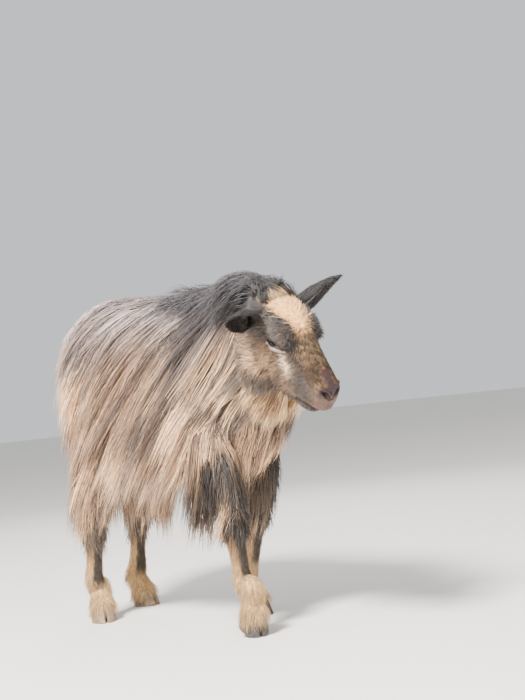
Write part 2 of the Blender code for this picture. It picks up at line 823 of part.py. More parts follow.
def trunk_locks(trees):
    """Rows of locks that part along the back and fall past the belly."""
    rng = random.Random(12)
    tree = trees[0]
    locks = []
    rows = (
        (80.0, RIDGE_LOCK, 0.0, 0.015, 0.55, TRUNK_COLUMNS),
        (44.0, FLANK_LOCK, 0.5, 0.014, 0.92, TRUNK_COLUMNS),
        (12.0, SIDE_LOCK, 0.0, 0.012, 1.00, TRUNK_COLUMNS),
        (-20.0, HEM_LOCK, 0.5, 0.009, 1.00, TRUNK_COLUMNS),
        (-62.0, BELLY_LOCK, 0.5, 0.006, 1.00, 3),
    )
    for side in (1, -1):
        for angle, kind, offset, lift, fall, columns in rows:
            for i in range(columns):
                share = (i + offset + rng.uniform(-0.15, 0.15)) / columns
                x = TRUNK_LOCKS_FROM + (TRUNK_LOCKS_TO - TRUNK_LOCKS_FROM) * share
                turn = math.radians(angle + rng.uniform(-4.0, 4.0))
                way = Vector((0.0, side * math.cos(turn), math.sin(turn)))
                root, out = surface_at(tree, Vector((x, 0.0, 0.585)), way)
                if root is None:
                    continue
                back = -0.50 if x < -0.15 else -0.16
                lie = Vector((back, side * 0.55, -0.85))
                locks.append(lay_lock(root, out, lie, kind, rng, trees, lift, fall))
        for x in (0.105, 0.150, 0.195):
            root, out = surface_at(tree, Vector((x, 0.0, 0.520)), Vector((0.0, side, 0.0)))
            lie = Vector((0.05, side * 0.2, -1.0))
            locks.append(lay_lock(root, out, lie, SHOULDER_LOCK, rng, trees, 0.006, 1.0))
    for height, count, lift in ((0.690, 3, 0.012), (0.620, 4, 0.010), (0.530, 4, 0.008)):
        for i in range(count):
            turn = math.radians(-62.0 + 124.0 * (i + 0.5) / count)
            way = Vector((-math.cos(turn), math.sin(turn), 0.0))
            root, out = surface_at(tree, Vector((-0.33, 0.0, height)), way)
            lie = Vector((-0.4, 0.3 * math.sin(turn), -1.0))
            locks.append(lay_lock(root, out, lie, RUMP_LOCK, rng, trees, lift, 0.95))
    return locks


def apron_locks(trees):
    """Locks on the front of the chest."""
    rng = random.Random(23)
    locks = []
    for height, count in ((0.560, 3), (0.485, 3)):
        for i in range(count):
            turn = math.radians(-58.0 + 116.0 * (i + 0.5) / count)
            way = Vector((math.cos(turn), math.sin(turn), 0.0))
            root, out = surface_at(trees[0], Vector((0.15, 0.0, height)), way)
            if root is None:
                continue
            lie = Vector((0.15, 0.2 * math.sin(turn), -1.0))
            locks.append(lay_lock(root, out, lie, APRON_LOCK, rng, trees, 0.010, 0.9))
    return locks


def neck_point(share):
    """A point on the neck's line and the way the line runs there."""
    points = [Vector(station[:3]) for station in NECK]
    place = share * (len(points) - 1)
    i = min(int(place), len(points) - 2)
    here = points[i].lerp(points[i + 1], place - i)
    return here, (points[i + 1] - points[i]).normalized()


def neck_locks(trees):
    """Mane, side and throat locks that hang from the neck."""
    rng = random.Random(37)
    locks = []
    rows = (
        (80.0, MANE_LOCK, 0.020, 0.55, 4),
        (46.0, NECK_LOCK, 0.016, 0.88, 4),
        (8.0, NECK_LOCK, 0.013, 1.00, 4),
        (-40.0, NECK_LOCK, 0.009, 1.00, 3),
    )
    for side in (1, -1):
        for row, (angle, kind, lift, fall, count) in enumerate(rows):
            for i in range(count):
                share = 0.34 + 0.56 * (i + 0.5 * (row % 2) + 0.25) / count
                centre, along = neck_point(share)
                across = Vector((0.0, 0.0, 1.0)).cross(along).normalized() * side
                turn = math.radians(angle + rng.uniform(-6.0, 6.0))
                way = across * math.cos(turn) + Vector((0.0, 0.0, 1.0)) * math.sin(turn)
                root, out = surface_at(trees[0], centre, way)
                if root is None:
                    continue
                lie = across * 0.5 + DOWN * 0.85 - along * 0.30
                locks.append(lay_lock(root, out, lie, kind, rng, trees, lift, fall))
    return locks


def head_locks(trees):
    """Beard, cheek tufts and the forelock between the ears."""
    rng = random.Random(41)
    place = head_place()
    turn = HEAD_TURN.to_matrix()
    locks = []

    def add(x, y, z, way, lie, kind, lift, fall):
        inside = place @ Vector((x, y, z))
        root, out = surface_at(trees[0], inside, (turn @ Vector(way)).normalized())
        if root is not None:
            way = turn @ Vector(lie)
            locks.append(lay_lock(root, out, way, kind, rng, trees, lift, fall, 0.15))

    for x in (0.142, 0.118, 0.094):
        for side in (-1.0, 0.0, 1.0):
            outward = (0.0, 0.35 * side, -1.0)
            lie = (0.2, 0.25 * side, -1.0)
            add(x, 0.012 * side, -0.040, outward, lie, BEARD_LOCK, 0.003, 0.9)
    for x, z in ((0.082, -0.070), (0.055, -0.050), (0.030, -0.080)):
        for side in (-1.0, 1.0):
            lie = (-0.5, 0.05 * side, -0.8)
            add(x, 0.0, z, (0.0, side, -0.30), lie, CHEEK_LOCK, 0.002, 0.8)
    for reach in (-0.6, 0.0, 0.6):
        outward = (-0.1, 0.5 * reach, 1.0)
        add(0.000, 0.014 * reach, 0.02, outward, (0.9, 0.6 * reach, 0.5), FORELOCK, 0.005, 0.30)
    return locks


def leg_locks(foot, trees):
    """Shaggy hair that hangs round the forearm, or from thigh to hock."""
    rng = random.Random(53 + list(FEET).index(foot))
    hind = foot.startswith("hind")
    stations = [Vector(station[:3]) for station in UPPER[foot]]
    locks = []
    levels = ((2, 0.6, LEG_LOCK, 3), (3, 0.5, KNEE_LOCK, 5))
    if hind:
        levels = ((2, 0.3, LEG_LOCK, 3), (3, 0.4, KNEE_LOCK, 5))
    for row, (index, share, kind, count) in enumerate(levels):
        centre = stations[index].lerp(stations[index + 1], share)
        for i in range(count):
            turn = 2.0 * math.pi * (i + 0.5 * row) / count
            way = Vector((math.cos(turn), math.sin(turn), 0.0))
            root, out = surface_at(trees[0], centre, way)
            if root is None:
                continue
            locks.append(lay_lock(root, out, DOWN + way * 0.1, kind, rng, trees, 0.007, 0.9, 0.15))
    return locks


def tail_locks(trees):
    rng = random.Random(67)
    locks = []
    for height in (0.700, 0.645):
        for turn in (110.0, 180.0, 250.0):
            way = Vector((math.cos(math.radians(turn)), math.sin(math.radians(turn)), 0.0))
            root, out = surface_at(trees[0], Vector((TAIL[2][0], 0.0, height)), way)
            if root is not None:
                lie = DOWN + way * 0.1
                locks.append(lay_lock(root, out, lie, TAIL_LOCK, rng, trees, 0.004, 0.9, 0.12))
    return locks


def build():
    cream = make_material("short_cream_hair", (0.70, 0.55, 0.38), 0.75)
    coat = make_material("grey_beige_coat", (0.50, 0.43, 0.38), 0.75)
    dark = make_material("charcoal_hair", (0.06, 0.055, 0.06), 0.7)
    horn = make_material("slate_hoof_horn", (0.10, 0.10, 0.11), 0.5)
    iris = make_material("amber_brown_eye", (0.16, 0.10, 0.05), 0.15)

    def laid(locks):
        return [lock for lock in locks if lock is not None]

    trunk_tree = tree_of(trunk_core())
    neck_tree = tree_of(neck_core())
    head_tree = tree_of(skull())
    tail_tree = tree_of(tail_core())
    leg_trees = {foot: tree_of(leg_core(foot)) for foot in FEET}
    shin_trees = {foot: tree_of([lower_leg("lower", foot)]) for foot in FEET}

    on_trunk = laid(trunk_locks([trunk_tree, *leg_trees.values()]) + apron_locks([trunk_tree, neck_tree]))
    on_neck = laid(neck_locks([neck_tree, trunk_tree, head_tree]))
    on_head = laid(head_locks([head_tree, neck_tree]))
    on_tail = laid(tail_locks([tail_tree, trunk_tree]))
    on_leg = {}
    for foot in FEET:
        on_leg[foot] = laid(leg_locks(foot, [leg_trees[foot], shin_trees[foot], trunk_tree]))
    counts = [len(group) for group in (on_trunk, on_neck, on_head, on_tail, *on_leg.values())]
    print("locks", counts)

    torso = trunk_core()[0]
    combine(torso, [half_space("cut", NECK_BASE - NECK_WAY * GAP, NECK_WAY)], "DIFFERENCE")
    combine(torso, [lock_form(lock) for lock in on_trunk], "UNION")
    finish(torso, "torso", coat)

    neck = neck_core()[0]
    back = half_space("cut", NECK_BASE, -NECK_WAY)
    front = half_space("cut", HEAD_BASE, HEAD_WAY)
    combine(neck, [back, front], "DIFFERENCE")
    combine(neck, [lock_form(lock) for lock in on_neck], "UNION")
    cut_clear(neck, [trunk_core_cut], on_trunk)
    finish(neck, "neck", dark)

    head = skull()
    head = combine(head[0], head[1:] + [lid_ball(1), lid_ball(-1)] + lips(), "UNION")
    thin_out(head, HEAD_SHARE)
    back = half_space("cut", HEAD_BASE + HEAD_WAY * GAP, -HEAD_WAY)
    combine(head, [back, mouth_slit(), nostril(1), nostril(-1)], "DIFFERENCE")
    combine(head, [lid_opening(side) for side in (1, -1)], "DIFFERENCE")
    combine(head, [lock_form(lock) for lock in on_head], "UNION")
    cut_clear(head, [neck_core_cut], on_neck)
    cut_clear(head, [], on_trunk)
    combine(head, [eye("cut", side, GAP) for side in (1, -1)], "DIFFERENCE")
    finish(head, "head", cream)

    for side, label in ((1, "left"), (-1, "right")):
        finish(eye("eye", side), "eye_" + label, iris)
        base = head_place() @ Vector((EAR_BASE[0], EAR_BASE[1] * side, EAR_BASE[2]))
        way = EAR_LEFT_WAY if side > 0 else EAR_RIGHT_WAY
        face = EAR_LEFT_FACE if side > 0 else EAR_RIGHT_FACE
        leaf = ear("ear", base, way, face)
        cut_clear(leaf, [skull, neck_core_cut], on_head + on_neck, 2.5 * GAP)
        finish(leaf, "ear_" + label, dark)
    tail = combine(tail_core()[0], [lock_form(lock) for lock in on_tail], "UNION")
    cut_clear(tail, [trunk_core], on_trunk)
    finish(tail, "tail", coat)
    for foot in FEET:
        thigh = leg_core(foot)[0]
        combine(thigh, [lock_form(lock) for lock in on_leg[foot]], "UNION")
        shin = lower_leg("lower", foot)
        for side, label in ((1, "left"), (-1, "right")):
            horn_form = claw("claw", foot, side)
            spur = dewclaw("dew", foot, side)
            combine(shin, [claw("cut", foot, side, GAP), dewclaw("cut", foot, side, GAP)], "DIFFERENCE")
            finish(horn_form, "claw_" + foot + "_" + label, horn)
            finish(spur, "dewclaw_" + foot + "_" + label, horn)
        combine(thigh, [lower_leg("cut", foot, 2.0 * GAP)], "DIFFERENCE")
        cut_clear(thigh, [trunk_core], on_trunk)
        cut_clear(thigh, [], on_neck)
        finish(thigh, "upper_leg_" + foot, coat if foot.startswith("hind") else dark)
        finish(shin, "lower_leg_" + foot, cream)


def stand_on_origin():
    """Move every part so that the middle of the goat's box is over the origin."""
    corners = [item.matrix_world @ Vector(corner) for item in GOAT.objects for corner in item.bound_box]
    middle_x = (min(c.x for c in corners) + max(c.x for c in corners)) / 2.0
    middle_y = (min(c.y for c in corners) + max(c.y for c in corners)) / 2.0
    for item in GOAT.objects:
        item.data.transform(Matrix.Translation((-middle_x, -middle_y, 0.0)))
    print("moved by", round(-middle_x, 5), round(-middle_y, 5))


clear_scene()
WORK = make_collection("work")
GOAT = make_collection(NAME)
build()
stand_on_origin()
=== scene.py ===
# %% [markdown]
# # A long-haired billy goat
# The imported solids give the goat's size, stance and main forms.  This script dresses them: one skin
# with a modelled head, eyes, ears and hooves, and a coat of many thin tapered strands that lie in
# locks over it.  Everything is in metres, +X is the way the body faces and +Z is up.

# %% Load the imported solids
import math

import bmesh
import bpy
import numpy as np
from mathutils import Euler, Matrix, Vector
from mathutils.bvhtree import BVHTree
from mathutils.kdtree import KDTree


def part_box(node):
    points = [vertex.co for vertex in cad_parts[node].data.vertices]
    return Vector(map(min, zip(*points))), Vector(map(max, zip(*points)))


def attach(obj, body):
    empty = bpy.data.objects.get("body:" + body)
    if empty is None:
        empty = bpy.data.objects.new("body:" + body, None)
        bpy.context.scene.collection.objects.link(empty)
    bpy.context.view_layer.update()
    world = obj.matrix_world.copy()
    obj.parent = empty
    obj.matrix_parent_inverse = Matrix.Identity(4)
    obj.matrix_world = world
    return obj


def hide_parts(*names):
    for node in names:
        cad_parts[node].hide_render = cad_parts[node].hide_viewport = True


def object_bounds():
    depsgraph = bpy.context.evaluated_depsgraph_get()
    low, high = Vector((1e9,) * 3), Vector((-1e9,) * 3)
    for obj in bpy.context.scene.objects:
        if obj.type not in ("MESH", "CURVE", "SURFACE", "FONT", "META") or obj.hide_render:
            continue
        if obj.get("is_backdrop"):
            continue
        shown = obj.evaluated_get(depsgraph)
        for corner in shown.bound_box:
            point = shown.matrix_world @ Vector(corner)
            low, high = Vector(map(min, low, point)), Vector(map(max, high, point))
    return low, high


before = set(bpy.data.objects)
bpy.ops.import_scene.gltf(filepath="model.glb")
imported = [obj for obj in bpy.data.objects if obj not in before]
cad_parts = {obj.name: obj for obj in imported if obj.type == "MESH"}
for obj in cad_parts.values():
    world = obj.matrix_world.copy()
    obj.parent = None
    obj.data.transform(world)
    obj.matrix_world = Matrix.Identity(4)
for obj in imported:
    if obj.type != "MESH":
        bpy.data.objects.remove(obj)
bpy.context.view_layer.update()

# %% [markdown]
# ## Where the goat's own measures lie
# The forms below are written round the goat's withers, as a sculptor's drawing is.  The packed
# model is centred over its box instead, so the step between the two is read from one eye's place.
# The head has a frame of its own: X runs from the poll to the nose, and Z up through the brow.

# %% The goat's frame and the head's frame
HEAD_SIZE = 0.97
HEAD_TURN = Euler((math.radians(12.7), math.radians(41.7), 0.0)).to_matrix().to_4x4()
HEAD_AT = Vector((0.390, -0.1275, 0.655))
EYE_AT = Vector((0.0854, 0.0401, 0.0195))
EYE_SWING = Matrix.Diagonal((1, -1, 1, 1))

low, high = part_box("eye_right")
bare_head = HEAD_TURN @ Matrix.Scale(HEAD_SIZE, 4)
SHIFT = (low + high) / 2.0 - bare_head @ (EYE_SWING @ EYE_AT) - HEAD_AT
HEAD = Matrix.Translation(HEAD_AT) @ bare_head
print("step to the packed frame", [round(v, 4) for v in SHIFT])

# %% [markdown]
# ## Small helpers
# Colours are written as the hex values a paint chart gives, and turned to the linear values that
# Blender mixes.  Meshes are built from whole arrays, because a coat of tens of thousands of
# strands would take minutes if its points were added one by one.

# %% Colour helpers
def linear(code):
    """An sRGB hex colour as three linear values."""
    parts = np.array([int(code[i:i + 2], 16) / 255.0 for i in (1, 3, 5)])
    return np.where(parts <= 0.04045, parts / 12.92, ((parts + 0.055) / 1.055) ** 2.4)


def step_between(value, low, high):
    """0 below low, 1 above high, and a soft rise between."""
    t = np.clip((value - low) / (high - low), 0.0, 1.0)
    return t * t * (3.0 - 2.0 * t)


def blend_to(colours, code, share):
    """Mix a hex colour into an array of colours by a share for each point."""
    share = np.clip(share, 0.0, 1.0)[:, None]
    return colours * (1.0 - share) + linear(code)[None, :] * share


def near_spot(points, centre, sizes):
    """1 at a spot's centre, and falling to 0 past its edge, for an oval spot of half sizes."""
    away = np.linalg.norm((points - np.array(centre)) / np.array(sizes), axis=1)
    return 1.0 - step_between(away, 0.55, 1.25)


def one_side(points):
    """Points of both halves laid on one, because the goat's markings mirror each other."""
    return np.stack((points[:, 0], np.abs(points[:, 1]), points[:, 2]), axis=1)


def ripple(points, size, seed):
    """A soft random field from -1 to 1 made of a few crossed waves of about this size."""
    rng = np.random.default_rng(seed)
    total = np.zeros(len(points))
    for _ in range(7):
        way = rng.normal(size=3)
        way *= rng.uniform(0.6, 1.5) * 2.0 * math.pi / (size * np.linalg.norm(way))
        total += np.sin(points @ way + rng.uniform(0.0, 6.3))
    return total / 3.6


# %% Mesh helpers
def place_points(points, matrix):
    """Points moved by a 4 by 4 matrix."""
    matrix = np.array(matrix)
    return points @ matrix[:3, :3].T + matrix[:3, 3]


def bare_mesh(name, points, faces):
    """A mesh whose faces all have the same number of corners, from two arrays."""
    faces = np.asarray(faces, dtype=np.int32)
    mesh = bpy.data.meshes.new(name)
    mesh.vertices.add(len(points))
    mesh.vertices.foreach_set("co", np.asarray(points, dtype=np.float32).ravel())
    mesh.loops.add(faces.size)
    mesh.loops.foreach_set("vertex_index", faces.ravel())
    mesh.polygons.add(len(faces))
    mesh.polygons.foreach_set("loop_start", np.arange(0, faces.size, faces.shape[1], dtype=np.int32))
    mesh.polygons.foreach_set("use_smooth", np.ones(len(faces), dtype=bool))
    mesh.update(calc_edges=True)
    return mesh


def set_values(mesh, name, kind, values):
    """Write a named value for each point: one float, three, or a colour."""
    layer = mesh.attributes.new(name, kind, "POINT")
    if kind == "FLOAT_VECTOR":
        layer.data.foreach_set("vector", np.asarray(values, dtype=np.float32).ravel())
    elif kind == "FLOAT_COLOR":
        full = np.ones((len(values), 4), dtype=np.float32)
        full[:, :3] = values
        layer.data.foreach_set("color", full.ravel())
    else:
        layer.data.foreach_set("value", np.asarray(values, dtype=np.float32))


def set_unwrap(mesh, corners):
    """Write the unwrap that the baked finish will use: one place for each corner of a face."""
    layer = mesh.uv_layers.new(name="OFBake")
    layer.data.foreach_set("uv", np.asarray(corners, dtype=np.float32).ravel())


def turn_outwards(mesh):
    """Make all faces of a closed mesh point outwards."""
    shell = bmesh.new()
    shell.from_mesh(mesh)
    bmesh.ops.recalc_face_normals(shell, faces=shell.faces)
    shell.to_mesh(mesh)
    shell.free()


def make_piece(name, points, faces, material):
    """An object of the goat, with its place in its mesh and the object at the origin."""
    mesh = bare_mesh(name, points + np.array(SHIFT), faces)
    item = bpy.data.objects.new(name, mesh)
    bpy.context.scene.collection.objects.link(item)
    mesh.materials.append(material)
    return item

# %% Read a mesh back
def read_mesh(mesh):
    """A mesh's points, and its faces of equal size, as arrays."""
    points = np.empty(len(mesh.vertices) * 3, dtype=np.float32)
    mesh.vertices.foreach_get("co", points)
    corners = np.empty(len(mesh.loops), dtype=np.int32)
    mesh.loops.foreach_get("vertex_index", corners)
    return points.reshape(-1, 3).astype(float), corners.reshape(len(mesh.polygons), -1)


def point_normals(points, faces):
    """The outward direction at each point, from the four-sided faces round it."""
    a, b, c, d = (points[faces[:, k]] for k in range(4))
    face_normals = np.cross(c - a, d - b)
    total = np.zeros_like(points)
    for k in range(4):
        np.add.at(total, faces[:, k], face_normals)
    return total / np.maximum(np.linalg.norm(total, axis=1, keepdims=True), 1e-12)


# %% [markdown]
# ## Lofted forms
# A body, a leg or a muzzle is drawn as a few cross-sections along its length.  A smooth curve
# through the stations gives many more sections, so no ring shows as a ridge.

# %% Lofts
def on_curve(p0, p1, p2, p3, t):
    """The point at t, from 0 to 1, of a smooth curve between the middle two of four points."""
    return 0.5 * (2 * p1 + (p2 - p0) * t + (2 * p0 - 5 * p1 + 4 * p2 - p3) * t * t
                  + (3 * p1 - p0 - 3 * p2 + p3) * t ** 3)


def finer(stations, times=5):
    """More stations on a smooth curve through the given ones."""
    rows = np.array(stations, dtype=float)
    padded = np.vstack([2 * rows[0] - rows[1], rows, 2 * rows[-1] - rows[-2]])
    out = []
    for i in range(len(rows) - 1):
        out.extend(on_curve(*padded[i:i + 4], k / times) for k in range(times))
    out.append(rows[-1])
    return np.array(out)


def oval(centre, side, lift, half_side, half_up, half_down, count, power):
    """Points round an oval whose upper and lower halves may differ."""
    angle = np.arange(count) * 2.0 * math.pi / count
    c, s = np.cos(angle), np.sin(angle)
    across = np.sign(c) * np.abs(c) ** (2.0 / power) * half_side
    half = np.where(s > 0, half_up, half_down)
    along = np.sign(s) * np.abs(s) ** (2.0 / power) * half
    return centre + np.outer(across, side) + np.outer(along, lift)


def loft(rings):
    """A closed form through rings: its points and its faces."""
    count = len(rings[0])
    points = np.vstack([*rings, np.mean(rings[0], axis=0), np.mean(rings[-1], axis=0)])
    faces = []
    for r in range(len(rings) - 1):
        for i in range(count):
            j = (i + 1) % count
            faces.append((r * count + i, r * count + j, (r + 1) * count + j, (r + 1) * count + i))
    first, last = len(points) - 2, len(points) - 1
    end = (len(rings) - 1) * count
    for i in range(count):
        j = (i + 1) % count
        faces.append((j, i, first))
        faces.append((end + i, end + j, last))
    return points, faces

# %% Forms made of rings
def triangles_of(faces):
    """Faces of three or four corners as triangles."""
    out = []
    for face in faces:
        out.append(face[:3])
        if len(face) == 4:
            out.append((face[0], face[2], face[3]))
    return np.array(out)


def barrel(stations, inset, power=2.2, count=40):
    """A form along X through stations (x, y, top, bottom, half width)."""
    rings = []
    for x, y, top, bottom, half in finer(stations):
        centre = np.array((x, y, (top + bottom) / 2.0))
        up = (top - bottom) / 2.0 - inset
        rings.append(oval(centre, (0, 1, 0), (0, 0, 1), half - inset, up, up, count, power))
    return loft(rings)


def limb(stations, inset, count=28, side_hint=(0.0, 1.0, 0.0)):
    """A tube through stations (x, y, z, half depth, half width)."""
    rows = finer(stations)
    rings = []
    for i, row in enumerate(rows):
        axis = rows[min(i + 1, len(rows) - 1), :3] - rows[max(i - 1, 0), :3]
        axis = axis / np.linalg.norm(axis)
        fore = np.cross(side_hint, axis)
        fore /= np.linalg.norm(fore)
        side = np.cross(axis, fore)
        depth = row[3] - inset
        rings.append(oval(row[:3], side, fore, row[4] - inset, depth, depth, count, 2.0))
    return loft(rings)


def ball(centre, halves, count=24, rows=14):
    """A closed egg with these half sizes."""
    rings = []
    for k in range(1, rows):
        angle = math.pi * k / rows
        ring = oval(np.zeros(3), (0, 1, 0), (1, 0, 0), 1, 1, 1, count, 2.0) * math.sin(angle)
        ring[:, 2] = -math.cos(angle)
        rings.append(ring * np.array(halves) + np.array(centre))
    return loft(rings)

# %% Melt forms together
def fuse(forms, grain, rounds):
    """One closed skin over forms that overlap, in faces of about this grain."""
    mesh = bpy.data.meshes.new("fuse")
    points, faces = [], []
    for form_points, form_faces in forms:
        start = len(points)
        points.extend(map(tuple, form_points))
        faces.extend([tuple(start + i for i in face) for face in form_faces])
    mesh.from_pydata(points, [], faces)
    turn_outwards(mesh)
    item = bpy.data.objects.new("fuse", mesh)
    bpy.context.scene.collection.objects.link(item)
    melt = item.modifiers.new("melt", "REMESH")
    melt.mode = "VOXEL"
    melt.voxel_size = grain
    ease = item.modifiers.new("ease", "SMOOTH")
    ease.factor = 0.5
    ease.iterations = rounds
    graph = bpy.context.evaluated_depsgraph_get()
    result = bpy.data.meshes.new_from_object(item.evaluated_get(graph))
    arrays = read_mesh(result)
    bpy.data.objects.remove(item)
    return arrays


# %% [markdown]
# ## The skin of the trunk, neck and legs
# The solids stand for the flesh with the inner half of the coat on it.  The skin lies inside them
# by the coat's depth: a good centimetre under the long coat, and a few millimetres at the shanks.
# The overlapping lofts are melted into one closed skin, so no seam shows where a leg leaves the body.

# %% Stations of the body
TRUNK = [
    (-0.448, 0.0, 0.684, 0.560, 0.036), (-0.428, 0.0, 0.744, 0.490, 0.062),
    (-0.375, 0.0, 0.786, 0.430, 0.096), (-0.285, 0.0, 0.800, 0.400, 0.132),
    (-0.165, 0.0, 0.790, 0.385, 0.156), (-0.045, 0.0, 0.777, 0.380, 0.158),
    (0.075, 0.0, 0.768, 0.385, 0.150), (0.165, 0.0, 0.770, 0.400, 0.134),
    (0.230, 0.0, 0.750, 0.430, 0.110), (0.272, 0.0, 0.700, 0.480, 0.070),
]
NECK = [
    (0.150, 0.010, 0.610, 0.150, 0.104), (0.215, -0.020, 0.630, 0.146, 0.100),
    (0.280, -0.058, 0.658, 0.128, 0.088), (0.336, -0.098, 0.672, 0.102, 0.074),
    (0.392, -0.126, 0.670, 0.074, 0.058),
]
FEET = {
    "fore_right": (0.210, -0.093, -16.0, 24.0), "fore_left": (0.030, 0.090, 6.0, 0.0),
    "hind_right": (-0.335, -0.100, -26.0, 0.0), "hind_left": (-0.418, 0.100, 10.0, 0.0),
}
HOOF_LENGTH = 0.066
FORE_UPPER = [(0.064, 0.036), (0.056, 0.040), (0.045, 0.038), (0.034, 0.032), (0.028, 0.027)]
HIND_UPPER = [(0.100, 0.044), (0.088, 0.048), (0.062, 0.043), (0.041, 0.036), (0.033, 0.029)]
FORE_LOWER = [(0.026, 0.025), (0.019, 0.018), (0.0165, 0.0165), (0.0195, 0.020)]
HIND_LOWER = [(0.031, 0.026), (0.021, 0.019), (0.0175, 0.0170), (0.0205, 0.021)]
UPPER_LINE = {
    "fore_right": [(0.105, -0.084, 0.500), (0.125, -0.089, 0.430), (0.150, -0.092, 0.350),
                   (0.170, -0.094, 0.285), (0.178, -0.094, 0.240)],
    "fore_left": [(0.120, 0.084, 0.500), (0.105, 0.089, 0.430), (0.080, 0.092, 0.350),
                  (0.058, 0.093, 0.285), (0.049, 0.093, 0.240)],
    "hind_right": [(-0.265, -0.090, 0.540), (-0.260, -0.098, 0.455), (-0.290, -0.102, 0.370),
                   (-0.322, -0.103, 0.300), (-0.336, -0.102, 0.250)],
    "hind_left": [(-0.270, 0.090, 0.540), (-0.280, 0.098, 0.455), (-0.330, 0.101, 0.370),
                  (-0.388, 0.101, 0.300), (-0.420, 0.100, 0.250)],
}
LOWER_LINE = {
    "fore_right": [(0.180, -0.094, 0.222), (0.182, -0.094, 0.195), (0.187, -0.094, 0.150),
                   (0.191, -0.093, 0.118)],
    "fore_left": [(0.044, 0.093, 0.222), (0.034, 0.092, 0.190), (0.018, 0.091, 0.140), (0.004, 0.090, 0.106)],
    "hind_right": [(-0.339, -0.102, 0.240), (-0.345, -0.101, 0.205), (-0.354, -0.100, 0.150),
                   (-0.363, -0.099, 0.108)],
    "hind_left": [(-0.424, 0.100, 0.240), (-0.431, 0.100, 0.205), (-0.440, 0.100, 0.150),
                  (-0.449, 0.100, 0.108)],
}
PASTERN = [(-0.033, 0.0, 0.084, 0.0225, 0.0235), (-0.024, 0.0, 0.062, 0.0205, 0.0235),
           (-0.014, 0.0, 0.040, 0.0240, 0.0270), (-0.008, 0.0, 0.022, 0.0200, 0.0250)]
TAIL = [(-0.425, 0.0, 0.712, 0.012, 0.016), (-0.450, 0.0, 0.702, 0.013, 0.020),
        (-0.466, 0.0, 0.672, 0.011, 0.020), (-0.470, 0.0, 0.630, 0.009, 0.016),
        (-0.470, 0.0, 0.595, 0.004, 0.008)]
COAT_DEPTH = 0.012

# %% Run of a leg
def foot_place(foot):
    """The frame of a foot: its toe points along X and its sole is at zero."""
    x, y, turn, heel = FEET[foot]
    toe = Matrix.Translation((HOOF_LENGTH / 2.0, 0, 0))
    lean = toe @ Matrix.Rotation(math.radians(heel), 4, "Y") @ toe.inverted()
    stand = Matrix.Translation((x, y, 0)) @ Matrix.Rotation(math.radians(turn), 4, "Z")
    return stand @ Matrix.Translation((0, 0, -0.003 if heel else 0.0)) @ lean


def leg_stations(foot):
    """A leg from inside the body to the coronet, in one smooth run."""
    fore = foot.startswith("fore")
    halves = FORE_UPPER if fore else HIND_UPPER
    upper = [(*p, d - 0.007, w - 0.007) for p, (d, w) in zip(UPPER_LINE[foot], halves)]
    lower = [(*p, d, w) for p, (d, w) in zip(LOWER_LINE[foot], FORE_LOWER if fore else HIND_LOWER)]
    pastern = []
    for x, y, z, depth, width in PASTERN:
        point = foot_place(foot) @ Vector((x, y, z))
        pastern.append((*point, depth, width))
    return upper + lower + pastern


def leg_centre(foot, z):
    """The middle of a leg in X and Y at heights z, and its half depth there."""
    line = np.array(leg_stations(foot))[::-1]
    return [np.interp(z, line[:, 2], line[:, k]) for k in (0, 1, 3)]


# %% Melt the body's forms into one skin
body_forms = [barrel(TRUNK, COAT_DEPTH), limb(NECK, 0.010, 40), limb(TAIL, 0.0, 20)]
body_forms += [limb(leg_stations(foot), 0.0) for foot in FEET]
for foot in FEET:
    x, y, z = LOWER_LINE[foot][0]
    if foot.startswith("fore"):
        body_forms.append(ball((x + 0.006, y, z + 0.020), (0.022, 0.023, 0.030)))
        body_forms.append(ball((x - 0.020, y, z + 0.004), (0.012, 0.013, 0.014)))
    else:
        body_forms.append(ball((x - 0.030, y, z + 0.034), (0.012, 0.013, 0.030)))
        body_forms.append(ball((x, y, z + 0.012), (0.026, 0.025, 0.026)))
body_skin, body_faces = fuse(body_forms, 0.0042, 5)
print("body skin", len(body_skin), "points")

# %% [markdown]
# ## The head
# The head is what a visitor looks at first.  Its bones show through short fur: a broad convex
# forehead, a rim of bone over each eye, a straight nose bridge, a heavy round jaw muscle, and a
# soft muzzle with comma-shaped nostrils and a thin mouth line.  Lofts and eggs give these masses,
# a fine melt joins them, and the small hollows and folds are then pressed into the skin's points.

# %% Masses of the head
SKULL = [
    (-0.042, 0.026, -0.052, 0.030), (-0.026, 0.055, -0.086, 0.050), (0.010, 0.076, -0.108, 0.061),
    (0.052, 0.082, -0.116, 0.061), (0.088, 0.071, -0.110, 0.053), (0.123, 0.051, -0.098, 0.042),
    (0.159, 0.034, -0.084, 0.036), (0.191, 0.021, -0.070, 0.034), (0.216, 0.006, -0.062, 0.030),
    (0.228, -0.013, -0.052, 0.019),
]


def skull_form():
    """The long loft of the head, squarer above and narrower at the jaw."""
    rings = []
    for x, top, bottom, half in finer(SKULL, 8):
        centre = np.array((x, 0.0, (top + bottom) / 2.0))
        tall = (top - bottom) / 2.0
        ring = oval(centre, (0, 1, 0), (0, 0, 1), half, tall, tall, 56, 2.25)
        height = (ring[:, 2] - centre[2]) / tall
        pinch = 0.20 * step_between(np.array([x]), 0.02, 0.12)[0]
        ring[:, 1] *= 1.0 - pinch * np.clip(-height, 0.0, 1.0) + 0.03 * np.clip(height, 0.0, 1.0)
        rings.append(ring)
    return loft(rings)


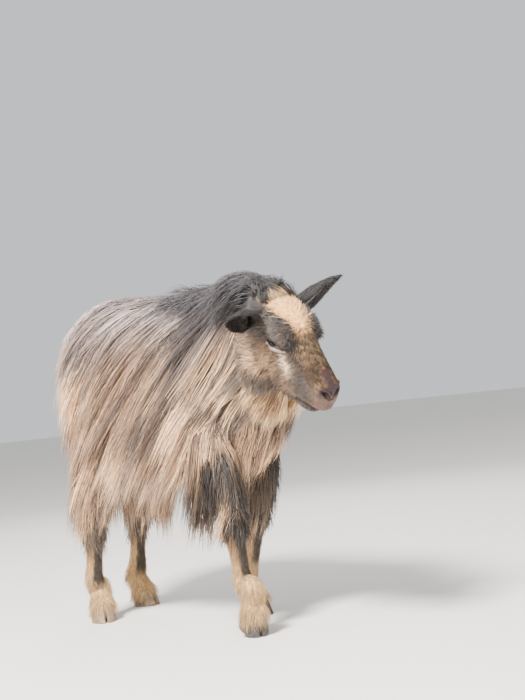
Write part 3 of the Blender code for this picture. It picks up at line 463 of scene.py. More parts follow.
HEAD_MASSES = [
    ((0.080, 0.0400, 0.0400), (0.034, 0.0190, 0.0165)),
    ((0.072, 0.0300, 0.0520), (0.036, 0.0240, 0.0200)),
    ((0.042, 0.0360, -0.0560), (0.050, 0.0285, 0.048)),
    ((0.108, 0.0330, -0.0080), (0.030, 0.0140, 0.0140)),
    ((0.199, 0.0160, -0.0080), (0.024, 0.0145, 0.0160)),
    ((0.190, 0.0200, -0.0300), (0.028, 0.0150, 0.0120)),
    ((0.006, 0.0300, 0.0560), (0.026, 0.0240, 0.0180)),
]
head_forms = [skull_form(), ball((0.168, 0.0, -0.072), (0.036, 0.022, 0.016))]
for centre, halves in HEAD_MASSES:
    for side in (1, -1):
        head_forms.append(ball((centre[0], centre[1] * side, centre[2]), halves))
head_skin, head_faces = fuse(head_forms, 0.0016, 9)
print("head skin", len(head_skin), "points")

# %% [markdown]
# ## Eye sockets, nostrils and mouth
# Each fold is a short path with a depth and a width.  Points of the skin near the path move in
# along their normals, and those a little further off move out, which gives the soft rim that a
# nostril or a lip has.  A goat's nostril sweeps up and back from the front of the nose.

# %% Press the folds into the head
EYE_RADIUS = 0.0178
SLIT_FRONT = 0.0190
SLIT_BACK = -0.0230
MOUTH = [(0.148, 0.0370, -0.0625), (0.162, 0.0355, -0.0600), (0.178, 0.0335, -0.0575), (0.193, 0.0315, -0.0550),
         (0.207, 0.0270, -0.0530), (0.218, 0.0170, -0.0515), (0.223, 0.0000, -0.0510)]
NOSTRIL = [(0.2310, 0.0040, -0.0240), (0.2290, 0.0085, -0.0180), (0.2245, 0.0145, -0.0115),
           (0.2180, 0.0205, -0.0075), (0.2110, 0.0240, -0.0060)]


def eye_frame(side):
    """The eye's centre, with X along the slit, Y up the lids and Z outwards."""
    out = Vector((0.22, side * 1.0, 0.16)).normalized()
    along = Vector((1.0, 0.0, 0.30))
    along = (along - out * along.dot(out)).normalized()
    up = along.cross(out) * side
    turn = Matrix((along, up, out)).transposed().to_4x4()
    return Matrix.Translation((EYE_AT.x, EYE_AT.y * side, EYE_AT.z)) @ turn


def from_eye(points, side):
    """Points of the head as the eye on that side sees them: along the slit, up the lids, outwards."""
    return place_points(points, np.array(eye_frame(side).inverted()))

# %% Distances and lid edges
def path_distance(points, path):
    """How far each point is from a path of straight stretches, and how far along it is nearest."""
    best = np.full(len(points), 1e9)
    place = np.zeros(len(points))
    path = np.array(path)
    for k in range(len(path) - 1):
        a, b = path[k], path[k + 1]
        t = np.clip(((points - a) @ (b - a)) / ((b - a) @ (b - a)), 0.0, 1.0)
        away = np.linalg.norm(points - a - t[:, None] * (b - a), axis=1)
        closer = away < best
        best = np.where(closer, away, best)
        place = np.where(closer, (k + t) / (len(path) - 1), place)
    return best, place


def bump(away, width):
    """A round-topped swelling of about this width: 1 in the middle, falling to 0."""
    return np.exp(-(away / width) ** 2)


def upper_edge(x):
    """Height of the upper lid's edge: flat at the back of the slit, falling to the front corner."""
    return np.interp(x, (-0.023, -0.018, -0.012, -0.004, 0.003, 0.009, 0.014, 0.019),
                     (0.0040, 0.0092, 0.0118, 0.0126, 0.0112, 0.0074, 0.0022, -0.0044))


def lower_edge(x):
    """Height of the lower lid's edge under the slit."""
    return np.interp(x, (-0.023, -0.017, -0.008, 0.000, 0.008, 0.019),
                     (0.0026, -0.0010, -0.0028, -0.0032, -0.0038, -0.0054))

# %% Press them in
def press_folds(points, normals):
    """The head's points after its hollows, rims and creases."""
    move = np.zeros(len(points))
    for side in (1, -1):
        here = points * np.array((1, side, 1))
        away, place = path_distance(here, NOSTRIL)
        deep = np.interp(place, (0.0, 0.4, 1.0), (1.0, 1.0, 0.45))
        move -= 0.0105 * bump(away, 0.0030) * deep
        move += 0.0022 * bump(away - 0.0062, 0.0026)
        away, place = path_distance(here, MOUTH)
        fade = np.interp(place, (0.0, 0.15, 1.0), (0.25, 1.0, 1.0))
        above = (here[:, 2] > np.interp(here[:, 0], (0.148, 0.223), (-0.0625, -0.051)))
        move -= 0.0042 * bump(away, 0.0018) * fade
        move += np.where(above, 0.0017, 0.0012) * bump(away - 0.0062, 0.0036) * fade
    ridge = bump(points[:, 1], 0.0013) * step_between(points[:, 0], 0.214, 0.222)
    move -= 0.0016 * ridge * (points[:, 2] > -0.036) * (points[:, 2] < -0.006)
    points = points + normals * move[:, None]
    for side in (1, -1):
        local = from_eye(points, side)
        x, y, z = local.T
        radius = np.hypot(x / 1.25, y)
        near = (z > 0.0) * 1.0
        z = z - 0.0026 * bump(radius - 0.0200, 0.0062) * near
        shell = np.sqrt(np.clip((EYE_RADIUS + 0.0022) ** 2 - (x / 1.08) ** 2 - y ** 2, 0.0, None))
        cover = (1.0 - step_between(radius, 0.0125, 0.0180)) * near
        z = z * (1.0 - cover) + shell * cover
        z += 0.0024 * bump(y - 0.0200 + 0.020 * np.abs(x), 0.0040) * bump(x, 0.026) * near
        z -= 0.0018 * bump(y - 0.0148, 0.0020) * bump(x, 0.017) * near
        z -= 0.0015 * bump(y + 0.0098, 0.0020) * bump(x, 0.017) * near
        inside = (x > SLIT_BACK - 0.0008) & (x < SLIT_FRONT + 0.0008)
        inside &= (y < upper_edge(x)) & (y > lower_edge(x))
        z = np.where(inside & (near > 0), np.minimum(z, EYE_RADIUS * 0.55), z)
        groove, _ = path_distance(np.stack((x, y, np.zeros_like(x)), axis=1),
                                  [(SLIT_FRONT - 0.002, -0.0040, 0.0), (SLIT_FRONT + 0.007, -0.0100, 0.0)])
        z -= 0.0020 * bump(groove, 0.0018) * near
        moved = place_points(np.stack((x, y, z), axis=1), np.array(eye_frame(side)))
        close = (np.linalg.norm(local, axis=1) < 0.045) & (local[:, 2] > -0.005)
        points = np.where(close[:, None], moved, points)
    return points


head_normals = point_normals(head_skin, head_faces)
head_skin = press_folds(head_skin, head_normals)
head_local = head_skin.copy()
head_skin = place_points(head_skin, HEAD)

# %% [markdown]
# ## Markings
# The goat's colours change from place to place, not from piece to piece: a charcoal crest, a
# silver-grey back, beige and cream flanks, a cream blaze on the forehead, and a dark stripe down
# the front of each shank.  A few dark spots are painted shade, not markings: the near ear's shadow
# on the neck, the shade under the jaw and on the chin, and the shade under the belly.  One function
# of place gives them all, and skin and coat both use it; the body's skin takes these colours darkened
# as painted shade, so what shows between the strands is a shaded copy of the strand's colour.

# %% Colour of the head
def head_colours(q):
    """Fur colours at points in the head's frame."""
    side = one_side(q)
    x, y, z = side.T
    mottle = ripple(q, 0.016, 3)
    fine = ripple(q, 0.006, 4)
    edge = 0.6 * mottle + 0.8 * fine
    colours = np.tile(linear("#86684e"), (len(q), 1))
    colours = blend_to(colours, "#43372f", 0.92 * near_spot(side, (0.056, 0.052, 0.052), (0.070, 0.05, 0.038)))
    colours = blend_to(colours, "#2a2424", 0.92 * near_spot(side, (-0.004, 0.050, 0.045), (0.042, 0.050, 0.045)))
    colours = blend_to(colours, "#b8946f", near_spot(side, (0.070, 0.060, -0.028), (0.044, 0.05, 0.026)))
    # Painted shade under the jaw, on both sides of the head.
    colours = blend_to(colours, "#32231a", 0.9 * near_spot(side, (0.084, 0.05, -0.086), (0.085, 0.06, 0.034)))
    white, _ = path_distance(side, [(0.106, 0.043, 0.012), (0.126, 0.041, 0.000), (0.146, 0.037, -0.012)])
    colours = blend_to(colours, "#f0d2b4", 0.9 * (1.0 - step_between(white + 0.005 * edge, 0.002, 0.015)))
    bridge = step_between(x, 0.088, 0.104) * step_between(0.030 - y + 0.004 * edge, 0.0, 0.008)
    colours = blend_to(colours, "#54402a", bridge)
    colours = blend_to(colours, "#86653c", 0.7 * bridge * step_between(edge, -0.1, 0.9))
    colours = blend_to(colours, "#412a18", 0.75 * near_spot(side, (0.178, 0.020, 0.012), (0.034, 0.024, 0.020)))
    colours = blend_to(colours, "#452f20", 0.9 * near_spot(side, (0.182, 0.034, -0.026), (0.044, 0.02, 0.038)))
    # Painted shade on the lower jaw and chin below the mouth line.
    chin = step_between(x, 0.12, 0.15) * step_between(-0.052 - z + 0.10 * (x - 0.20), 0.0, 0.008)
    colours = blend_to(colours, "#3a2e28", chin)
    stripe, _ = path_distance(side, [(0.110, 0.036, 0.036), (0.122, 0.034, 0.024), (0.146, 0.031, 0.016),
                                     (0.164, 0.036, -0.006), (0.172, 0.036, -0.024)])
    colours = blend_to(colours, "#32241a", 0.80 * (1.0 - step_between(stripe + 0.007 * edge, 0.004, 0.019)))
    half = np.interp(x, (0.0, 0.03, 0.06, 0.10), (0.032, 0.030, 0.024, 0.018))
    blaze = 1.0 - step_between(y + 0.004 * edge - half, 0.0, 0.008)
    blaze *= 1.0 - step_between(x + 0.3 * y + 0.006 * edge, 0.094, 0.110)
    blaze *= step_between(z, 0.03, 0.05) * step_between(x, -0.012, 0.002)
    brow, _ = path_distance(side, [(0.040, 0.038, 0.070), (0.066, 0.033, 0.070), (0.092, 0.028, 0.060),
                                   (0.112, 0.032, 0.042)])
    colours = blend_to(colours, "#241d1b", 0.92 * (1.0 - step_between(brow + 0.005 * edge, 0.009, 0.021)))
    colours = blend_to(colours, "#ffc682", blaze)
    behind = step_between(0.004 - x + 0.4 * (y - 0.020) + 0.006 * edge, 0.0, 0.014)
    colours = blend_to(colours, "#1f1c20", behind * step_between(z, 0.01, 0.03))
    return colours * (1.0 + 0.08 * fine)[:, None]


# %% Colour of the body
def body_colours(p, tone, along):
    """Coat colours at points in the goat's frame, by the strand's tone and the place along it."""
    x, y, z = p.T
    drift = ripple(p, 0.13, 8)
    colours = np.tile(linear("#c09a7c"), (len(p), 1))
    colours = blend_to(colours, "#d6a283", 0.8 * near_spot(p, (-0.38, -0.10, 0.66), (0.12, 0.14, 0.12)))
    colours = blend_to(colours, "#5e493c", step_between(0.46 - tone, 0.0, 0.30))
    colours = blend_to(colours, "#facfa2", step_between(tone, 0.52, 0.85))
    top = step_between(z + 0.025 * drift, 0.62, 0.76)
    colours = blend_to(colours, "#8f8283", 0.85 * top)
    colours = blend_to(colours, "#e0cfca", 0.75 * top * step_between(tone, 0.50, 0.82))
    shoulder = step_between(x + 0.03 * drift, 0.03, 0.15) * step_between(z, 0.44, 0.58)
    colours = blend_to(colours, "#4c4547", 0.80 * shoulder * (1.0 - step_between(tone, 0.48, 0.8)))
    colours = blend_to(colours, "#1d1a1d", neck_height(p) * (1.0 - 0.45 * step_between(tone, 0.5, 0.9)))
    breast = step_between(x, 0.22, 0.30) * (1.0 - step_between(z, 0.54, 0.62))
    colours = blend_to(colours, "#8b7565", 0.75 * breast * (1.0 - step_between(tone, 0.40, 0.62)))
    colours = blend_to(colours, "#efc896", 0.60 * breast * step_between(tone, 0.5, 0.8))
    # Painted shadow: the near ear's cast shadow down the neck below it, on the near side only.
    colours = blend_to(colours, "#241c19", 0.95 * near_spot(p, (0.355, -0.185, 0.610), (0.036, 0.060, 0.085)))
    # Painted shade under the belly: the hair there is darkened towards its roots.
    under = (1.0 - step_between(z, 0.33, 0.42)) * (1.0 - step_between(np.abs(y), 0.085, 0.125)) * (1.0 - along)
    colours = blend_to(colours, "#3f322a", under)
    forearm = near_spot(one_side(p), (0.120, 0.095, 0.345), (0.110, 0.090, 0.065))
    colours = blend_to(colours, "#2b1f17", 0.92 * forearm)
    return colours * (0.66 + 0.62 * tone)[:, None]


def neck_height(p):
    """How much of the charcoal crest a point takes: 1 along the top of the neck and the withers."""
    line = [(-0.12, 0.0, 0.81), (0.16, -0.01, 0.80), (0.24, -0.035, 0.79), (0.32, -0.085, 0.775),
            (0.40, -0.125, 0.75)]
    away, _ = path_distance(p, line)
    fade = step_between(p[:, 0] + 0.02 * ripple(p, 0.05, 12), -0.16, 0.13)
    return (1.0 - step_between(away + 0.015 * ripple(p, 0.05, 13), 0.045, 0.130)) * fade


# %% Colour of the legs
def leg_colours(p, foot):
    """Short hair of a shank: cream, tan higher up, with a dark stripe down the front."""
    colours = np.tile(linear("#f3c88f"), (len(p), 1))
    centre_x, centre_y, _ = leg_centre(foot, p[:, 2])
    ahead = p[:, 0] - centre_x
    aside = np.abs(p[:, 1] - centre_y)
    grain = ripple(p, 0.02, 21)
    foot_end = 0.118 if foot.startswith("fore") else 0.082
    stripe = step_between(ahead - 0.7 * aside + 0.002 * grain, 0.001, 0.007)
    stripe *= step_between(p[:, 2] + 0.006 * grain, foot_end, foot_end + 0.024)
    colours = blend_to(colours, "#c19463", step_between(p[:, 2], 0.12, 0.22))
    colours = blend_to(colours, "#2a2626", 0.94 * stripe)
    if foot.startswith("fore"):
        colours = blend_to(colours, "#2a1e16", step_between(p[:, 2] + 0.01 * grain, 0.225, 0.260))
    else:
        colours = blend_to(colours, "#6e5b4e", step_between(p[:, 2] + 0.01 * grain, 0.20, 0.25))
    return colours * (1.0 + 0.08 * grain)[:, None]


# %% [markdown]
# ## An unwrap of the skin
# Each form is unrolled like a sleeve: one direction runs along it, the other round it.  The
# sleeves get their own rectangles, and each strand of the coat later takes a small patch of the
# rectangle where its root stands.

# %% Sleeves
SLEEVES = {
    "trunk": (0.01, 0.01, 0.60, 0.60), "neck": (0.63, 0.01, 0.98, 0.28), "head": (0.63, 0.31, 0.98, 0.72),
    "tail": (0.63, 0.75, 0.78, 0.85),
    "fore_right": (0.01, 0.63, 0.14, 0.98), "fore_left": (0.16, 0.63, 0.29, 0.98),
    "hind_right": (0.31, 0.63, 0.44, 0.98), "hind_left": (0.46, 0.63, 0.59, 0.98),
}
NECK_BASE = np.array((0.225, -0.020, 0.640))
NECK_WAY = np.array(Vector((0.78, -0.50, 0.20)).normalized())


def part_of(points):
    """Which form each point of the body's skin belongs to."""
    x, y, z = points.T
    part = np.full(len(points), "trunk", dtype=object)
    part[(points - NECK_BASE) @ NECK_WAY > 0.0] = "neck"
    for foot in FEET:
        cx, cy, size = leg_centre(foot, z)
        part[(np.hypot(x - cx, y - cy) < size * 1.35 + 0.012) & (z < 0.395)] = foot
    part[(x < -0.447) & (np.abs(y) < 0.03) & (z < 0.72) & (z > 0.58)] = "tail"
    return part


def sleeve_of(points, part):
    """Two values from 0 to 1 for each point: along its form, and round it."""
    x, y, z = points.T
    if part == "trunk":
        return (x + 0.46) / 0.76, np.arctan2(y, z - 0.58) / (2.0 * math.pi)
    if part == "neck":
        flat = (points - NECK_BASE) @ NECK_WAY
        return flat / 0.22, np.arctan2(y + 0.09, z - 0.65) / (2.0 * math.pi)
    if part == "head":
        return (x + 0.05) / 0.29, np.arctan2(y, z + 0.015) / (2.0 * math.pi)
    if part == "tail":
        return (z - 0.58) / 0.15, np.arctan2(y, x + 0.46) / (2.0 * math.pi)
    cx, cy, _ = leg_centre(part, z)
    return z / 0.40, np.arctan2(y - cy, x - cx) / (2.0 * math.pi)

# %% Unwrap
def unwrap(points, part, turn=None):
    """Places on the unwrap; turn holds the face's own angle, so that no face spans the seam."""
    along, round_it = sleeve_of(points, part)
    if turn is not None:
        round_it = turn + (round_it - turn + 0.5) % 1.0 - 0.5
    u0, v0, u1, v1 = SLEEVES[part]
    across = np.clip(round_it + 0.5, 0.0, 1.0)
    return np.stack((u0 + np.clip(along, 0, 1) * (u1 - u0), v0 + across * (v1 - v0)), axis=1)


def unwrap_skin(points, faces, parts):
    """The unwrap of every face corner of a skin."""
    middles = points[faces].mean(axis=1)
    corners = np.zeros((*faces.shape, 2))
    for part in sorted(set(parts)):
        mine = parts == part
        _, turn = sleeve_of(middles[mine], part)
        for k in range(faces.shape[1]):
            corners[mine, k] = unwrap(points[faces[mine, k]], part, turn)
    return corners


# %% [markdown]
# ## Materials
# Hair is keratin: a dielectric with an index of refraction near 1.55 and a soft long highlight.
# The strands carry their own colour as a value at each point, and the shader adds the fine uneven
# streaks inside one lock.  The hide under them has the same colours, darkened on the body as painted
# shade, and a short-fur bump.

# %% Node helper
def add_node(tree, kind, settings=None, values=None, links=None):
    """Add one node, set its properties and socket values, and link sockets into it."""
    node = tree.nodes.new(kind)
    for name, value in (settings or {}).items():
        setattr(node, name, value)
    for name, value in (values or {}).items():
        node.inputs[name].default_value = value
    for name, source in (links or {}).items():
        tree.links.new(source, node.inputs[name])
    return node


def new_material(name, values):
    """A material with a Principled shader and these fixed socket values."""
    material = bpy.data.materials.new(name)
    material.use_nodes = True
    shader = material.node_tree.nodes["Principled BSDF"]
    for key, value in values.items():
        shader.inputs[key].default_value = value
    return material, material.node_tree, shader


# %% Goat hair
def hair_material(name, streak_mm, depth, roughness):
    """Keratin strands in their own colours, with finer hairs streaked along the inside of each."""
    material, tree, shader = new_material(name, {"Roughness": roughness, "IOR": 1.55, "Specular IOR Level": 0.35,
                                                 "Sheen Weight": 0.15, "Sheen Roughness": 0.5})
    colour = add_node(tree, "ShaderNodeAttribute", {"attribute_name": "fur"})
    place = add_node(tree, "ShaderNodeTexCoord")
    cloud = add_node(tree, "ShaderNodeTexNoise", values={"Scale": 1000.0 / streak_mm, "Detail": 2.0},
                     links={"Vector": place.outputs["Object"]})
    strand = add_node(tree, "ShaderNodeAttribute", {"attribute_name": "strand"})
    stretch = add_node(tree, "ShaderNodeMapping", values={"Scale": (2.6, 1.6, 9.0)},
                       links={"Vector": strand.outputs["Vector"]})
    hairs = add_node(tree, "ShaderNodeTexNoise", values={"Scale": 1.0, "Detail": 2.0, "Roughness": 0.6},
                     links={"Vector": stretch.outputs["Vector"]})
    both = add_node(tree, "ShaderNodeMath", {"operation": "ADD"},
                    links={0: cloud.outputs["Fac"], 1: hairs.outputs["Fac"]})
    tone = add_node(tree, "ShaderNodeMapRange", links={"Value": both.outputs["Value"]},
                    values={"From Min": 0.70, "From Max": 1.30, "To Min": 1.0 - depth, "To Max": 1.0 + depth})
    tinted = add_node(tree, "ShaderNodeVectorMath", {"operation": "SCALE"},
                      links={0: colour.outputs["Color"], "Scale": tone.outputs["Result"]})
    raised = add_node(tree, "ShaderNodeBump", values={"Strength": 0.5, "Distance": 0.0004},
                      links={"Height": hairs.outputs["Fac"]})
    tree.links.new(tinted.outputs["Vector"], shader.inputs["Base Color"])
    tree.links.new(raised.outputs["Normal"], shader.inputs["Normal"])
    return material


LONG_HAIR = hair_material("long_goat_hair", 9.0, 0.34, 0.46)
SHORT_HAIR = hair_material("short_goat_hair", 4.0, 0.18, 0.58)

# %% Hide
def hide_material(name, grain_mm):
    """Skin with a flat nap of short fur; where a point is bare it is moist leathery skin."""
    material, tree, shader = new_material(name, {"IOR": 1.45, "Specular IOR Level": 0.4})
    colour = add_node(tree, "ShaderNodeAttribute", {"attribute_name": "fur"})
    bare = add_node(tree, "ShaderNodeAttribute", {"attribute_name": "bare"})
    place = add_node(tree, "ShaderNodeTexCoord")
    fur = add_node(tree, "ShaderNodeTexNoise",
                   values={"Scale": 1000.0 / grain_mm, "Detail": 4.0, "Roughness": 0.7},
                   links={"Vector": place.outputs["Object"]})
    pores = add_node(tree, "ShaderNodeTexVoronoi", values={"Scale": 1000.0 / 1.6},
                     links={"Vector": place.outputs["Object"]})
    height = add_node(tree, "ShaderNodeMix", {"data_type": "FLOAT"},
                      links={"Factor": bare.outputs["Fac"], "A": fur.outputs["Fac"],
                              "B": pores.outputs["Distance"]})
    raised = add_node(tree, "ShaderNodeBump", values={"Strength": 0.45, "Distance": 0.0012},
                      links={"Height": height.outputs["Result"]})
    rough = add_node(tree, "ShaderNodeMapRange", values={"To Min": 0.82, "To Max": 0.42},
                     links={"Value": bare.outputs["Fac"]})
    tone = add_node(tree, "ShaderNodeMapRange", links={"Value": fur.outputs["Fac"]},
                    values={"From Min": 0.3, "From Max": 0.7, "To Min": 0.80, "To Max": 1.12})
    tinted = add_node(tree, "ShaderNodeVectorMath", {"operation": "SCALE"},
                      links={0: colour.outputs["Color"], "Scale": tone.outputs["Result"]})
    tree.links.new(tinted.outputs["Vector"], shader.inputs["Base Color"])
    tree.links.new(rough.outputs["Result"], shader.inputs["Roughness"])
    tree.links.new(raised.outputs["Normal"], shader.inputs["Normal"])
    return material


HIDE = hide_material("short_furred_hide", 1.8)

# %% Hoof horn
def horn_material(name, dark, pale):
    """Hoof horn: keratin in growth rings, dull where it has worn on stones."""
    material, tree, shader = new_material(name, {"IOR": 1.54, "Specular IOR Level": 0.4})
    place = add_node(tree, "ShaderNodeTexCoord")
    rings = add_node(tree, "ShaderNodeTexWave", {"bands_direction": "Z"},
                     {"Scale": 1000.0 / 3.2 / 6.28, "Distortion": 2.5, "Detail": 3.0, "Detail Scale": 2.0},
                     {"Vector": place.outputs["Object"]})
    wear = add_node(tree, "ShaderNodeTexNoise",
                    values={"Scale": 1000.0 / 9.0, "Detail": 5.0, "Roughness": 0.65},
                    links={"Vector": place.outputs["Object"]})
    ramp = add_node(tree, "ShaderNodeValToRGB", links={"Fac": wear.outputs["Fac"]})
    ramp.color_ramp.elements[0].position = 0.32
    ramp.color_ramp.elements[0].color = (*linear(dark), 1.0)
    ramp.color_ramp.elements[1].position = 0.72
    ramp.color_ramp.elements[1].color = (*linear(pale), 1.0)
    rough = add_node(tree, "ShaderNodeMapRange", values={"To Min": 0.42, "To Max": 0.75},
                     links={"Value": wear.outputs["Fac"]})
    raised = add_node(tree, "ShaderNodeBump", values={"Strength": 0.35, "Distance": 0.0006},
                      links={"Height": rings.outputs["Fac"]})
    tree.links.new(ramp.outputs["Color"], shader.inputs["Base Color"])
    tree.links.new(rough.outputs["Result"], shader.inputs["Roughness"])
    tree.links.new(raised.outputs["Normal"], shader.inputs["Normal"])
    return material


SLATE_HORN = horn_material("slate_hoof_horn", "#1f1e21", "#57504b")
PALE_HORN = horn_material("pale_hoof_horn", "#5c4c3d", "#a58d70")

# %% Eye
def within(tree, value, inner, outer):
    """1 while a value is within inner of zero, and 0 past outer."""
    away = add_node(tree, "ShaderNodeMath", {"operation": "ABSOLUTE"}, links={0: value})
    edge = add_node(tree, "ShaderNodeMapRange", {"interpolation_type": "SMOOTHSTEP"},
                    {"From Min": inner, "From Max": outer, "To Min": 1.0, "To Max": 0.0},
                    {"Value": away.outputs["Value"]})
    return edge.outputs["Result"]


def eye_material():
    """A wet eyeball: amber-brown iris in mottled noise, a level slot of a pupil, and a white beyond painted
    near-black as painted shade of the lids.
    """
    material, tree, shader = new_material("wet_amber_eye", {"Roughness": 0.06, "IOR": 1.376, "Coat Weight": 0.6,
                                                            "Coat Roughness": 0.03})
    spot = add_node(tree, "ShaderNodeAttribute", {"attribute_name": "eye_place"})
    parts = add_node(tree, "ShaderNodeSeparateXYZ", links={"Vector": spot.outputs["Vector"]})
    noise = add_node(tree, "ShaderNodeTexNoise", values={"Scale": 9.0, "Detail": 5.0},
                     links={"Vector": spot.outputs["Vector"]})
    iris = add_node(tree, "ShaderNodeValToRGB", links={"Fac": noise.outputs["Fac"]})
    iris.color_ramp.elements[0].position = 0.35
    iris.color_ramp.elements[0].color = (*linear("#120c08"), 1.0)
    iris.color_ramp.elements[1].position = 0.70
    iris.color_ramp.elements[1].color = (*linear("#33200f"), 1.0)
    reach = add_node(tree, "ShaderNodeVectorMath", {"operation": "LENGTH"}, links={0: spot.outputs["Vector"]})
    limbus = add_node(tree, "ShaderNodeMapRange", {"interpolation_type": "SMOOTHSTEP"},
                      {"From Min": 0.66, "From Max": 0.78}, {"Value": reach.outputs["Value"]})
    white = add_node(tree, "ShaderNodeMix", {"data_type": "RGBA"},
                     links={"Factor": limbus.outputs["Result"], "A": iris.outputs["Color"]})
    # Painted shade: the white of the eye is painted near-black, as the lids' shade over it.
    white.inputs["B"].default_value = (*linear("#241b1a"), 1.0)
    tall = within(tree, parts.outputs["Y"], 0.13, 0.18)
    wide = within(tree, parts.outputs["X"], 0.38, 0.46)
    pupil = add_node(tree, "ShaderNodeMath", {"operation": "MULTIPLY"}, links={0: tall, 1: wide})
    final = add_node(tree, "ShaderNodeMix", {"data_type": "RGBA"},
                     links={"Factor": pupil.outputs["Value"], "A": white.outputs["Result"]})
    final.inputs["B"].default_value = (*linear("#0c0a0c"), 1.0)
    tree.links.new(final.outputs["Result"], shader.inputs["Base Color"])
    return material


EYE = eye_material()

# %% Lid skin
def rim_material(name, code):
    """Bare moist skin at the lids' edges."""
    material, tree, shader = new_material(name, {"Roughness": 0.34, "IOR": 1.45, "Subsurface Weight": 0.08,
                                                 "Subsurface Scale": 0.002})
    place = add_node(tree, "ShaderNodeTexCoord")
    blotch = add_node(tree, "ShaderNodeTexNoise", values={"Scale": 1000.0 / 2.5, "Detail": 3.0},
                      links={"Vector": place.outputs["Object"]})
    ramp = add_node(tree, "ShaderNodeValToRGB", links={"Fac": blotch.outputs["Fac"]})
    ramp.color_ramp.elements[0].position = 0.3
    ramp.color_ramp.elements[0].color = (*(linear(code) * 0.72), 1.0)
    ramp.color_ramp.elements[1].position = 0.7
    ramp.color_ramp.elements[1].color = (*np.minimum(linear(code) * 1.15, 1.0), 1.0)
    tree.links.new(ramp.outputs["Color"], shader.inputs["Base Color"])
    return material


DARK_RIM = rim_material("dark_lid_skin", "#2e2324")
PALE_RIM = rim_material("pale_lid_skin", "#9c8783")

# %% [markdown]
# ## Skin pieces
# The two skins overlap under the thick hair behind the ears, where no edge can be seen.

# %% Make the skins
def bare_share(q):
    """Where the head's skin is hairless: the nose between the nostrils, and the lips."""
    side = one_side(q)
    nose = step_between(side[:, 0] + 0.15 * side[:, 1] + 0.002 * ripple(q, 0.012, 6), 0.2150, 0.2230)
    away, _ = path_distance(side, MOUTH)
    lips = (1.0 - step_between(away, 0.0050, 0.0095)) * step_between(side[:, 0], 0.165, 0.190)
    ridge, _ = path_distance(side, [(0.190, 0.003, 0.020), (0.206, 0.003, 0.012), (0.226, 0.004, -0.006)])
    top = 1.0 - step_between(ridge + 0.004 * ripple(q, 0.009, 7), 0.003, 0.013)
    return np.clip(np.maximum(np.maximum(nose, lips), top), 0.0, 1.0)


def skin_colours(q, bare):
    """The head's own colours with the purple-grey nose and the pink-grey lips, and painted shade in the
    nostrils, along the mouth line and in the eye's slit.
    """
    colours = head_colours(q)
    pink = np.tile(linear("#5f453c"), (len(q), 1))
    pink = blend_to(pink, "#352526", step_between(q[:, 2] + 0.003 * ripple(q, 0.010, 8), -0.026, -0.012))
    pink *= (1.0 + 0.22 * ripple(q, 0.004, 9) + 0.12 * ripple(q, 0.009, 10))[:, None]
    mixed = colours * (1.0 - bare)[:, None] + pink * bare[:, None]
    for side in (1, -1):
        # Painted shade: the opening of the nostril is painted near-black.
        away, _ = path_distance(q * np.array((1, side, 1)), NOSTRIL)
        mixed = blend_to(mixed, "#141012", 1.0 - step_between(away, 0.0030, 0.0050))
        # Painted shade: the crease of the mouth is painted dark.
        away, _ = path_distance(q * np.array((1, side, 1)), MOUTH)
        mixed = blend_to(mixed, "#2a1f1f", 0.85 * (1.0 - step_between(away, 0.0010, 0.0024)))
        lx, ly, lz = from_eye(q, side).T
        along = step_between(lx, SLIT_BACK - 0.006, SLIT_BACK) * (lz > 0)
        along *= 1.0 - step_between(lx, SLIT_FRONT + 0.008, SLIT_FRONT + 0.014)
        over = (1.0 - step_between(np.abs(ly - upper_edge(lx) - 0.0020), 0.0028, 0.0046)) * along
        under = (1.0 - step_between(np.abs(ly - lower_edge(lx) + 0.0078), 0.0012, 0.0030)) * along
        lid = (1.0 - step_between(np.abs(ly - lower_edge(lx) + 0.0032), 0.0026, 0.0040)) * along
        # Painted shade: the skin inside the eye's slit, behind the eyeball, is painted near-black.
        slit_shade = step_between(upper_edge(lx) - ly, -0.001, 0.0) * step_between(ly - lower_edge(lx), -0.001, 0.0)
        mixed = blend_to(mixed, "#181011", slit_shade * along)
        mixed = blend_to(mixed, "#b29a92", 0.9 * lid)
        mixed = blend_to(mixed, "#211a1b", 0.95 * over)
        mixed = blend_to(mixed, "#231a18", 0.9 * under)
    return mixed


body_parts = part_of(body_skin[body_faces].mean(axis=1))
point_parts = part_of(body_skin)
skin_body = make_piece("skin_body", body_skin, body_faces, HIDE)
tones = 0.35 + 0.10 * ripple(body_skin, 0.03, 5)
# The body's skin takes the coat's colours at 45 %: painted shade in the gaps between the strands.
shaded_skin_fur = body_colours(body_skin, tones, np.zeros(len(body_skin))) * 0.45
for foot in FEET:
    mine = point_parts == foot
    shaded_skin_fur[mine] = leg_colours(body_skin[mine], foot) * 0.9
set_values(skin_body.data, "fur", "FLOAT_COLOR", shaded_skin_fur)
set_values(skin_body.data, "bare", "FLOAT", np.zeros(len(body_skin)))
set_unwrap(skin_body.data, unwrap_skin(body_skin, body_faces, body_parts))

skin_head = make_piece("skin_head", head_skin, head_faces, HIDE)
head_bare = bare_share(head_local)
set_values(skin_head.data, "fur", "FLOAT_COLOR", skin_colours(head_local, head_bare))
set_values(skin_head.data, "bare", "FLOAT", head_bare)
set_unwrap(skin_head.data, unwrap_skin(head_local, head_faces, np.full(len(head_faces), "head", dtype=object)))

# %% [markdown]
# ## Eyes
# A goat's eye is a wet ball with a level slot for a pupil.  Each ball carries its own flat
# coordinates, so the pattern stays with the eye.  The lids' rims are thin rolls along the slit.

